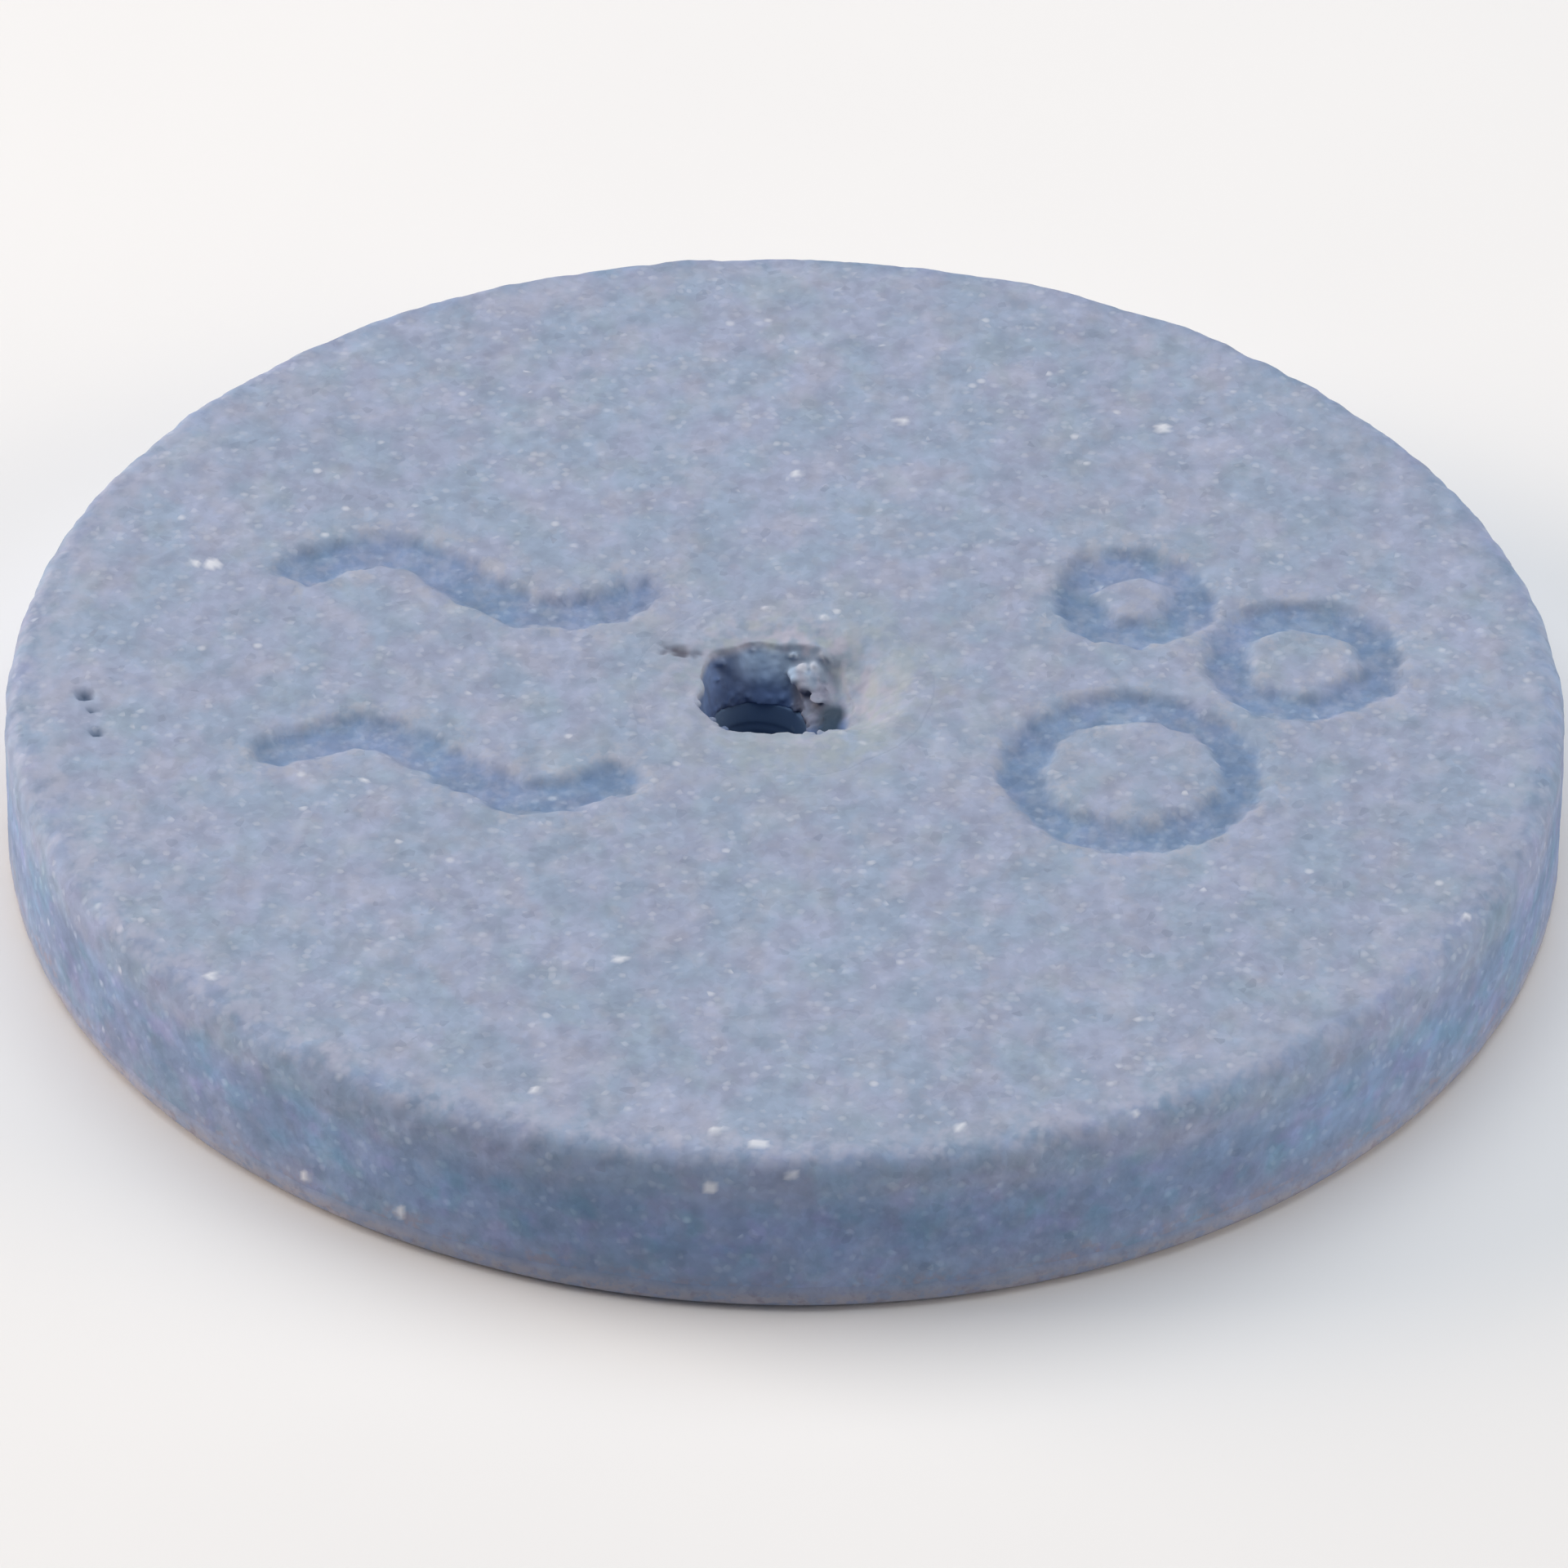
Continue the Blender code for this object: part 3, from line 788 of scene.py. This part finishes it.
def resin_look():
    shader = Shader("cured_resin")
    depth = shader.between(shader.noise(2.5, 3.0), 0.35, 0.65)
    colour = shader.mix(depth, RESIN_THIN, RESIN_THICK)
    bubbles, _, kind, _ = shader.cells(0.7)
    spot = shader.times(shader.between(kind, 0.80, 0.90), shader.between(bubbles, 0.30, 0.15))
    colour = shader.mix(shader.times(spot, 0.5), colour, RESIN_BUBBLE)
    roughness = shader.between(depth, 0.0, 1.0, 0.22, 0.40)
    return shader.finish(colour, roughness, shader.bump(shader.noise(1.2, 2.0), 0.05, 0.4), 0.5)


def floor_look():
    shader = Shader("pale_floor")
    soft = shader.between(shader.noise(60.0, 3.0), 0.3, 0.7)
    return shader.finish(shader.mix(soft, FLOOR_DARK, FLOOR_LIGHT), 0.85, None, 0.2)


# ---- pieces


def build_stone():
    """The porous cup: real grain on the outside, plain walls inside."""
    edge_z = TOP - TOP_EDGE_RADIUS
    arc = [
        (RADIUS - TOP_EDGE_RADIUS * (1.0 - math.cos(a)), edge_z + TOP_EDGE_RADIUS * math.sin(a))
        for a in np.linspace(0.0, math.pi / 2.0, 10)
    ]
    upright = [(float(side_radius(np.array(z))), z) for z in np.arange(STONE_BOTTOM, edge_z, FINE_STEP)]
    inner = [
        (BORE_RADIUS, TOP - SEAM_DROP - GLUE_GAP),
        (BORE_RADIUS, ROOF_UNDERSIDE),
        (CUP_RADIUS, ROOF_UNDERSIDE),
        (CUP_RADIUS, STONE_BOTTOM),
    ]
    outside = np.concatenate([upright, arc, filled([arc[-1], (BORE_RADIUS, TOP)], FINE_STEP)[1:]])
    hidden = np.concatenate([inner[:1], filled(inner, 3.0)[1:]])
    points, quads, triangles, ring_of = turned_grid(np.concatenate([outside, hidden]), RIM_POINTS)
    stone = make_piece("stone", points, quads, triangles, stone_look())
    face_outwards(stone)
    normals = point_normals(stone)

    skin = ring_of < len(outside)
    on_top = skin & (ring_of >= len(upright) + len(arc) - 1)
    x, y, z = points.T
    radial = np.hypot(x, y)
    to_rim = RADIUS - radial
    below_top = TOP - z
    from_mark = mark_distance(x, y) + 0.38 * layered_noise(points, 1.5, 2, 63)
    from_mark += 0.32 * smooth_noise(points, 0.75, 67)
    pressed = np.where(on_top, ramp(from_mark, MARK_SLOPE / 2.0, -MARK_SLOPE / 2.0), 0.0)
    near_edge = ramp(to_rim, 4.0, 1.2) * ramp(below_top, 3.6, 1.2)
    rise = grain_relief(points) + slow_relief(points)
    rise += near_edge * (0.15 * layered_noise(points, 2.4, 3, 51) - 0.05)
    pale = pale_share(points, PALE_GRAINS)
    rise += 0.08 * pale
    moved = points + normals * np.where(skin, rise, 0.0)[:, None]
    moved[:, 2] -= MARK_DEPTH * pressed
    seam = seam_radius(points)
    moved[:, 2] -= np.where(on_top, SEAM_DROP * ramp(radial, seam - 0.1, seam - 0.9), 0.0)
    deep = np.zeros(len(points))
    for pit_x, pit_y, pit_radius, depth in PITS:
        spread = np.hypot(x - pit_x, y - pit_y) + 0.25 * smooth_noise(points, 0.7, 61)
        hollow = np.where(on_top, ramp(spread, pit_radius, pit_radius * 0.25), 0.0)
        moved[:, 2] -= depth * hollow
        deep = np.maximum(deep, hollow)
    set_points(stone, moved)

    band_edge = COAT_LAP + COAT_FEATHER + 0.7 * layered_noise(points, 3.0, 2, 95)
    rim_noise = layered_noise(points, 2.6, 3, 55)
    # Painted wall shade: grows over the upper few millimetres of the side wall, half strength on the outer
    # rim of the top face, a little weaker near the bottom
    wall = ramp(below_top + 0.5 * rim_noise, 0.2, 4.6) * ramp(to_rim, 2.5, 0.8)
    wall *= 1.0 - 0.22 * ramp(below_top, 6.5, 9.0)
    rim = 0.50 * ramp(to_rim - 0.3 * rim_noise, 2.6, 0.5)
    worn = ramp(to_rim - 0.6 * rim_noise, 5.0, 1.8) * ramp(below_top + 0.25 * rim_noise, 1.0, 0.1)
    store(
        stone,
        pressed=pressed,
        beside=np.where(on_top, ramp(from_mark, 2.8, 1.0) * (1.0 - pressed), 0.0),
        wall=np.maximum(wall, rim),
        worn=worn * (0.3 + 0.7 * facing(bearing(points), -1.85)),
        stained=np.where(on_top, resin_stain(points), 0.0),
        banded=ramp(z, band_edge + 0.6, band_edge - 0.8),
        deep=deep,
        pale=pale,
    )
    from_above = skin & (ring_of >= len(upright) + len(arc) // 2)
    zone = np.where(from_above, 0, np.where(skin, 1, 2))
    lay_out(stone, zone)
    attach(stone, "root")
    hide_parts("stone_body")


def build_coat():
    """The sealing coat: a thin pan whose lapped edge runs out into the wall."""
    lap = COAT_LAP + COAT_FEATHER
    outline = list(filled([(COAT_HUB, COAT_LOW[2]), (RADIUS - COAT_EDGE_RADIUS, COAT_LOW[2])], 0.6))
    for a in np.linspace(-math.pi / 2.0, 0.0, 7)[1:]:
        height = COAT_EDGE_RADIUS * (1.0 + math.sin(a))
        outline.append((RADIUS - COAT_EDGE_RADIUS * (1.0 - math.cos(a)), height))
    outline += [(float(coat_radius(z)), z) for z in np.arange(COAT_EDGE_RADIUS + 0.25, lap, 0.25)]
    outer_rings = len(outline)
    inside = RADIUS - COAT_TUCK - 0.35
    outline += list(filled([(inside, lap - 0.1), (inside, COAT_FLOOR), (COAT_HUB, COAT_FLOOR)], 2.0))
    points, quads, triangles, ring_of = turned_grid(outline, RIM_POINTS, closed=False)
    for number in (0, ring_of[-1]):
        rim = np.flatnonzero(ring_of == number)
        middle = np.full(len(rim), len(points))
        triangles.append(np.stack([middle, rim, np.roll(rim, -1)], axis=1))
        points = np.vstack([points, (0.0, 0.0, points[rim[0], 2])])
        ring_of = np.append(ring_of, number)
    coat = make_piece("coat", points, quads, triangles, coat_look())
    face_outwards(coat)
    normals = point_normals(coat)
    z = points[:, 2]
    to_rim = RADIUS - np.hypot(points[:, 0], points[:, 1])
    outer = ring_of < outer_rings
    on_wall = np.where(outer, ramp(z, 0.1, 0.7) * ramp(to_rim, 1.2, 0.4), 0.0)
    rise = on_wall * (grain_relief(points) + slow_relief(points))
    moved = points.copy()
    moved[:, :2] += normals[:, :2] * rise[:, None]
    wander = 0.45 * layered_noise(points * (1.0, 1.0, 0.0), 3.4, 3, 103)
    moved[:, 2] += on_wall * ramp(z, 1.0, lap) * wander
    flat = outer & (z < 0.05)
    lumps = 0.05 + 0.05 * layered_noise(points, 6.0, 3, 107) + 0.02 * smooth_noise(points, 1.1, 109)
    moved[:, 2] += np.where(flat, np.clip(lumps, 0.0, 0.2) * ramp(to_rim, 1.2, 4.0), 0.0)
    set_points(coat, moved)
    store(coat, edge=on_wall * ramp(z, 0.9, COAT_LAP + 0.3))
    zone = np.where(flat, 2, np.where(outer, 1, 0))
    lay_out(coat, zone)
    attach(coat, "root")
    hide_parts("base_coat")


def solid(name, low_outline, low, high_outline, high):
    """A closed solid between two outlines with as many points, used to build the collar.

    The upper height may differ from point to point.
    """
    count = len(high_outline)
    heights = np.broadcast_to(high, count)
    builder = bmesh.new()
    bottom = [builder.verts.new((x * MM, y * MM, low * MM)) for x, y in low_outline]
    top = [builder.verts.new((x * MM, y * MM, z * MM)) for (x, y), z in zip(high_outline, heights)]
    builder.faces.new(bottom[::-1])
    builder.faces.new(top)
    for here in range(count):
        there = (here + 1) % count
        builder.faces.new((bottom[here], bottom[there], top[there]))
        builder.faces.new((bottom[here], top[there], top[here]))
    bmesh.ops.recalc_face_normals(builder, faces=builder.faces)
    mesh = bpy.data.meshes.new(name)
    builder.to_mesh(mesh)
    builder.free()
    return new_object(name, mesh)


def segment_distance(points, start, end):
    """Distance, seen from above, from each point to the line from start to end."""
    start, end = np.array(start), np.array(end)
    run = end - start
    share = np.clip((points[:, :2] - start) @ run / (run @ run), 0.0, 1.0)
    return np.linalg.norm(points[:, :2] - start - share[:, None] * run, axis=1)


def circle(radius, steps=96, centre=(0.0, 0.0), ragged=0.0):
    """Points of a circle, or of one broken along seams of grain."""
    angle = math.tau * np.arange(steps) / steps
    wobble = np.cos(angle + 0.8) - 1.2 * np.cos(4.0 * angle)
    wobble += 0.4 * np.sin(7.0 * angle + 1.9) + 0.4 * np.sin(11.0 * angle)
    reach = radius * (1.0 + ragged * wobble)
    return np.stack([centre[0] + reach * np.cos(angle), centre[1] + reach * np.sin(angle)], axis=1)


def combine(piece, tool, operation):
    """Adds a tool to the piece or cuts it away, once baked."""
    modifier = piece.modifiers.new(tool.name, "BOOLEAN")
    modifier.operation = operation
    modifier.solver = "EXACT"
    modifier.object = tool


def bake(piece, *tools):
    """Applies the piece's modifiers and removes the tools."""
    bpy.context.view_layer.update()
    graph = bpy.context.evaluated_depsgraph_get()
    mesh = bpy.data.meshes.new_from_object(piece.evaluated_get(graph))
    piece.modifiers.clear()
    piece.data = mesh
    for tool in tools:
        bpy.data.objects.remove(tool)


def scatter_grains(piece, grains):
    """Adds a small rough ball at each place; the remesh joins them to the rest."""
    builder = bmesh.new()
    builder.from_mesh(piece.data)
    for place, size in grains:
        spot = Matrix.Translation(Vector(place) * MM)
        bmesh.ops.create_icosphere(builder, subdivisions=2, radius=size * MM, matrix=spot)
    builder.to_mesh(piece.data)
    builder.free()


def grain_places(rng):
    """Where loose grains are bonded: round the rim, on the ledge, in the bore and behind the mouth."""
    grains = []

    def put(x, y, z, size):
        if math.hypot(x - INLET_X, y) - size > AIRLINE_RADIUS + 0.1:
            grains.append(((x, y, z), size))

    def put_round(centre, reach, angle, z, size):
        put(centre[0] + reach * math.cos(angle), centre[1] + reach * math.sin(angle), z, size)

    for _ in range(120):
        angle = rng.uniform(0.0, math.tau)
        reach = MOUTH_RADIUS + rng.normal(0.35, 0.4)
        z = TOP - rng.uniform(0.35, 0.9)
        put_round(MOUTH_CENTRE, reach, angle, z, rng.uniform(0.2, 0.4))
    for _ in range(120):
        x = LEDGE_LEFT + rng.uniform(0.0, 4.6)
        y = LEDGE_FRONT + rng.uniform(0.1, 5.2)
        put(x, y, ledge_top(x, y) + rng.uniform(-0.45, 0.15), rng.uniform(0.25, 0.6))
    for _ in range(40):
        x = 1.5 + rng.normal(0.0, 0.5)
        y = 3.4 + rng.normal(0.0, 0.7)
        put(x, y, TOP - rng.uniform(1.4, 2.2), rng.uniform(0.3, 0.55))
    for _ in range(50):
        angle = rng.uniform(0.0, math.tau)
        z = rng.uniform(THROAT_Z + 0.4, TOP - 0.8)
        centre, radius = funnel_at(z)
        put_round(centre, radius + 0.1, angle, z, rng.uniform(0.15, 0.3))
    for _ in range(40):
        angle = rng.uniform(0.0, math.tau)
        size = rng.uniform(0.10, 0.22)
        reach = AIRLINE_RADIUS + 0.12 + size
        put_round((INLET_X, 0.0), reach, angle, THROAT_Z + rng.uniform(0.15, 0.5), size)
    for _ in range(60):
        angle = rng.uniform(0.5, 2.6)
        reach = MOUTH_RADIUS + rng.uniform(0.6, 3.8)
        size = rng.uniform(0.25, 0.5)
        put_round(MOUTH_CENTRE, reach, angle, TOP + 0.10 - size, size)
    for x, y, depth, radius in INLET_GRAINS:
        put(x, y, TOP - depth, radius)
    return grains


def build_collar():
    """The plug of grain and resin: cut, strewn with grains, joined by a remesh, then roughened."""
    lip_top = TOP + 0.01
    plug_edge = circle(COLLAR_HIGH[0] + 0.1)
    lip_edge = circle(SEAM_RADIUS + 0.9)
    seat_edge = circle(SEAT_RADIUS, centre=(INLET_X, 0.0))
    throat_edge = circle(THROAT_RADIUS, centre=(INLET_X, 0.0), ragged=0.03)
    mouth_edge = circle(MOUTH_RADIUS + 0.2, centre=MOUTH_CENTRE, ragged=0.055)
    ledge_edge = np.array([(LEDGE_LEFT, LEDGE_FRONT), (LEDGE_RIGHT, LEDGE_FRONT), *LEDGE_BACK])
    collar = solid("collar", plug_edge, COLLAR_LOW[2] + 0.05, plug_edge, lip_top)
    lip = solid("collar_lip", lip_edge, TOP - 0.9, lip_edge, lip_top)
    seat = solid("seat", seat_edge, COLLAR_LOW[2] - 1.0, seat_edge, THROAT_Z - 0.04)
    mouth = solid("mouth", throat_edge, THROAT_Z - 0.3, mouth_edge, TOP + 0.5)
    ledge = solid("ledge", ledge_edge, THROAT_Z + 0.1, ledge_edge, ledge_top(*ledge_edge.T))
    combine(collar, lip, "UNION")
    combine(collar, seat, "DIFFERENCE")
    combine(collar, mouth, "DIFFERENCE")
    combine(collar, ledge, "UNION")
    bake(collar, lip, seat, mouth, ledge)
    scatter_grains(collar, grain_places(np.random.default_rng(GRAIN_SEED)))
    remesh = collar.modifiers.new("join", "REMESH")
    remesh.mode = "VOXEL"
    remesh.voxel_size = VOXEL * MM
    bake(collar)
    collar.data.shade_smooth()
    collar.data.materials.clear()
    collar.data.materials.append(collar_look())
    points = get_points(collar)
    normals = point_normals(collar)
    x, y, z = points.T
    below_top = TOP - z
    past_seam = np.hypot(x, y) - seam_radius(points)
    past_rim = np.hypot(x - MOUTH_CENTRE[0], y - MOUTH_CENTRE[1]) - MOUTH_RADIUS
    angle = np.arctan2(y - MOUTH_CENTRE[1], x - MOUTH_CENTRE[0])

    rough = grain_relief(points) + slow_relief(points)
    crumbs = grain_relief(points, 0.6) + 0.10 * layered_noise(points, 1.4, 3, 131)
    rough += ramp(past_rim, 3.0, 1.0) * crumbs
    moved = points + normals * (ramp(z, THROAT_Z + 0.1, THROAT_Z + 0.9) * rough)[:, None]
    moved[:, 2] -= SEAM_DROP * ramp(past_seam, 0.1, 0.8)
    slope = ramp(past_rim + 0.3 * layered_noise(points, 1.8, 2, 137), 4.0, -0.4)
    slope *= ramp(np.cos(angle - 0.05), 0.55, 0.95)
    lumps = slope * (0.18 * layered_noise(points, 1.3, 2, 139) + grain_relief(points, 0.6))
    moved[:, 2] += lumps * ramp(below_top, 1.6, 0.1)
    moved[:, 2] -= (0.25 * ramp(past_rim, 1.8, 0.0) + 1.6 * slope) * ramp(below_top, 2.6, 0.1)
    from_crack = segment_distance(points, *CRACK_ENDS) + 0.38 * layered_noise(points, 0.7, 2, 153)
    crack = ramp(from_crack, 0.80, -0.10) * ramp(below_top, 0.7, 0.3)
    moved[:, 2] -= 0.20 * crack
    set_points(collar, moved)

    inside = ramp(past_rim, 0.9, 0.1)
    on_ledge = ramp(x, 0.0, 0.8) * ramp(y, -0.8, 0.6)
    # Painted shade masks for the ledge: full on its low part, 0.45 strength on its right part
    low_ledge = on_ledge * ramp(below_top, 1.2, 2.0)
    right_ledge = on_ledge * ramp(x, 1.6, 3.4) * ramp(below_top, 0.3, 1.1)
    # Painted shade mask for the pocket under the front of the ledge
    pocket = ramp(x, 1.4, 2.6) * ramp(y, 2.0, 0.6) * ramp(below_top, 0.5, 1.3)
    # Painted light share in the bore: high on the far wall and near the top, low at the sides and towards
    # the throat
    lit = 0.10 + 0.90 * ramp(np.cos(angle - 1.4), 0.60, 0.95)
    skirt = ramp(past_rim, 3.4, 0.9) * ramp(below_top, 0.9, 0.3) * (0.25 + 0.75 * facing(angle, 1.0))
    store(
        collar,
        # Share of the painted bore light and shade: inside the mouth from just under the top down, little on
        # the ledge
        deep=0.85 * ramp(below_top, 0.05, 0.8) * inside * (1.0 - 0.9 * on_ledge),
        ledge=inside * np.maximum(low_ledge, 0.45 * right_ledge),
        lit=lit * (0.08 + 0.92 * ramp(z, THROAT_Z + 0.4, TOP - 1.0)),
        pocket=0.93 * pocket * inside,
        lump=np.maximum.reduce([on_ledge * inside, skirt, 0.8 * slope]),
        stained=resin_stain(points),
        pale=pale_share(points, INLET_GRAINS),
        crack=crack,
    )
    lay_out(collar, np.where(normals[:, 2] > -0.3, 0, 2))
    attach(collar, "root")
    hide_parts("inlet_collar")


def build_grommet(rubber):
    """The rubber sleeve that grips the airline, with a rounded lip and shallow grip beads in its bore."""
    low, high = GROMMET_LOW[2], GROMMET_HIGH[2]
    lip = 0.6
    sleeve = AIRLINE_RADIUS + 0.8
    bead_depth, bead_spacing = 0.02, 0.8
    count = 160
    corners = [
        (AIRLINE_RADIUS, (low + high) / 2.0),
        (AIRLINE_RADIUS, low),
        (sleeve, low),
        (sleeve, high - lip),
        (GROMMET_LIP_RADIUS, high - lip),
        (GROMMET_LIP_RADIUS, high),
        (AIRLINE_RADIUS + 0.25, high),
        (AIRLINE_RADIUS, high - 1.4),
        (AIRLINE_RADIUS, (low + high) / 2.0 + 0.05),
    ]
    profile = filled(rounded(corners, 0.16), 0.12)
    in_bore = np.abs(profile[:, 0] - AIRLINE_RADIUS) < 0.02
    beads = bead_depth * (1.0 + np.cos(math.tau * (profile[:, 1] - low) / bead_spacing))
    profile[:, 0] += np.where(in_bore, beads, 0.0)
    points = np.concatenate([ring(radius, height, count) for radius, height in profile])
    points[:, 0] += INLET_X
    quads = []
    for number in range(len(profile)):
        other = (number + 1) % len(profile)
        quads += bridge(number * count, count, other * count, count)[0]
    grommet = make_piece("grommet", points, quads, [], rubber)
    face_outwards(grommet)
    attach(grommet, "root")
    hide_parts("inlet_grommet")


def dress_hidden_parts(rubber):
    """The inner solids keep their shape and get soft edges and finished materials."""
    looks = {
        "closing_plate": plate_look(),
        "plate_bond_ring": resin_look(),
        "inlet_bush": plastic_look(),
        "bush_gasket": rubber,
    }
    for name, material in looks.items():
        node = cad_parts[name]
        node.data.materials.clear()
        node.data.materials.append(material)
        bevel = node.modifiers.new("soft_edges", "BEVEL")
        bevel.width = 0.1 * MM
        bevel.segments = 2
        bevel.limit_method = "ANGLE"
        bevel.angle_limit = math.radians(50.0)


# ---- floor, light and camera


def build_floor():
    line = np.linspace(-FLOOR_HALF_WIDTH, FLOOR_HALF_WIDTH, FLOOR_STEPS + 1)
    x, y = np.meshgrid(line, line, indexing="ij")
    points = np.stack([x.ravel(), y.ravel(), np.full(x.size, -FLOOR_DROP)], axis=1)
    i, j = np.meshgrid(np.arange(FLOOR_STEPS), np.arange(FLOOR_STEPS), indexing="ij")
    corner = (i * (FLOOR_STEPS + 1) + j).ravel()
    faces = np.stack([corner, corner + FLOOR_STEPS + 1, corner + FLOOR_STEPS + 2, corner + 1], axis=1)
    floor = make_piece("floor", points, [faces], [], floor_look())


def add_light(name, place, size, power, colour):
    """A square soft light aimed at the disc."""
    lamp = bpy.data.lights.new(name, "AREA")
    lamp.shape = "SQUARE"
    lamp.size = size * MM
    lamp.energy = power
    lamp.color = colour
    light = new_object(name, lamp)
    light.location = Vector(place) * MM
    light.rotation_mode = "QUATERNION"
    light.rotation_quaternion = (-light.location).to_track_quat("-Z", "Y")


def build_light():
    for light in LIGHTS:
        add_light(*light)
    world = bpy.data.worlds.new("soft_room")
    bpy.context.scene.world = world
    world.use_nodes = True
    tree = world.node_tree
    room = tree.nodes["Background"]
    backdrop = tree.nodes.new("ShaderNodeBackground")
    for node, colour, strength in ((room, ROOM_COLOUR, ROOM_STRENGTH), (backdrop, BACKDROP_COLOUR, 1.0)):
        node.inputs["Color"].default_value = (*colour, 1.0)
        node.inputs["Strength"].default_value = strength
    rays = tree.nodes.new("ShaderNodeLightPath")
    choose = tree.nodes.new("ShaderNodeMixShader")
    tree.links.new(rays.outputs["Is Camera Ray"], choose.inputs[0])
    tree.links.new(room.outputs[0], choose.inputs[1])
    tree.links.new(backdrop.outputs[0], choose.inputs[2])
    tree.links.new(choose.outputs[0], tree.nodes["World Output"].inputs["Surface"])


def build_camera():
    azimuth, elevation = math.radians(CAMERA_AZIMUTH), math.radians(CAMERA_ELEVATION)
    level = math.cos(elevation)
    back = Vector((math.sin(azimuth) * level, -math.cos(azimuth) * level, math.sin(elevation)))
    turn = (-back).to_track_quat("-Z", "Y")
    up = turn @ Vector((0.0, 1.0, 0.0))
    top_centre = Vector((0.0, 0.0, TOP))
    place = top_centre + back * CAMERA_DISTANCE
    aim = top_centre - up * CAMERA_AIM_DROP
    lens = bpy.data.cameras.new("camera")
    lens.lens = CAMERA_LENS
    lens.clip_start = 0.05
    lens.clip_end = 40.0
    camera = new_object("camera", lens)
    camera.location = place * MM
    camera.rotation_mode = "QUATERNION"
    roll = Matrix.Rotation(math.radians(CAMERA_ROLL), 3, "Z").to_quaternion()
    camera.rotation_quaternion = (aim - place).to_track_quat("-Z", "Y") @ roll
    bpy.context.scene.camera = camera
    bpy.context.scene.view_settings.view_transform = "Standard"


soft_rubber = rubber_look()
build_stone()
build_coat()
build_collar()
build_grommet(soft_rubber)
dress_hidden_parts(soft_rubber)
build_floor()
build_light()
build_camera()
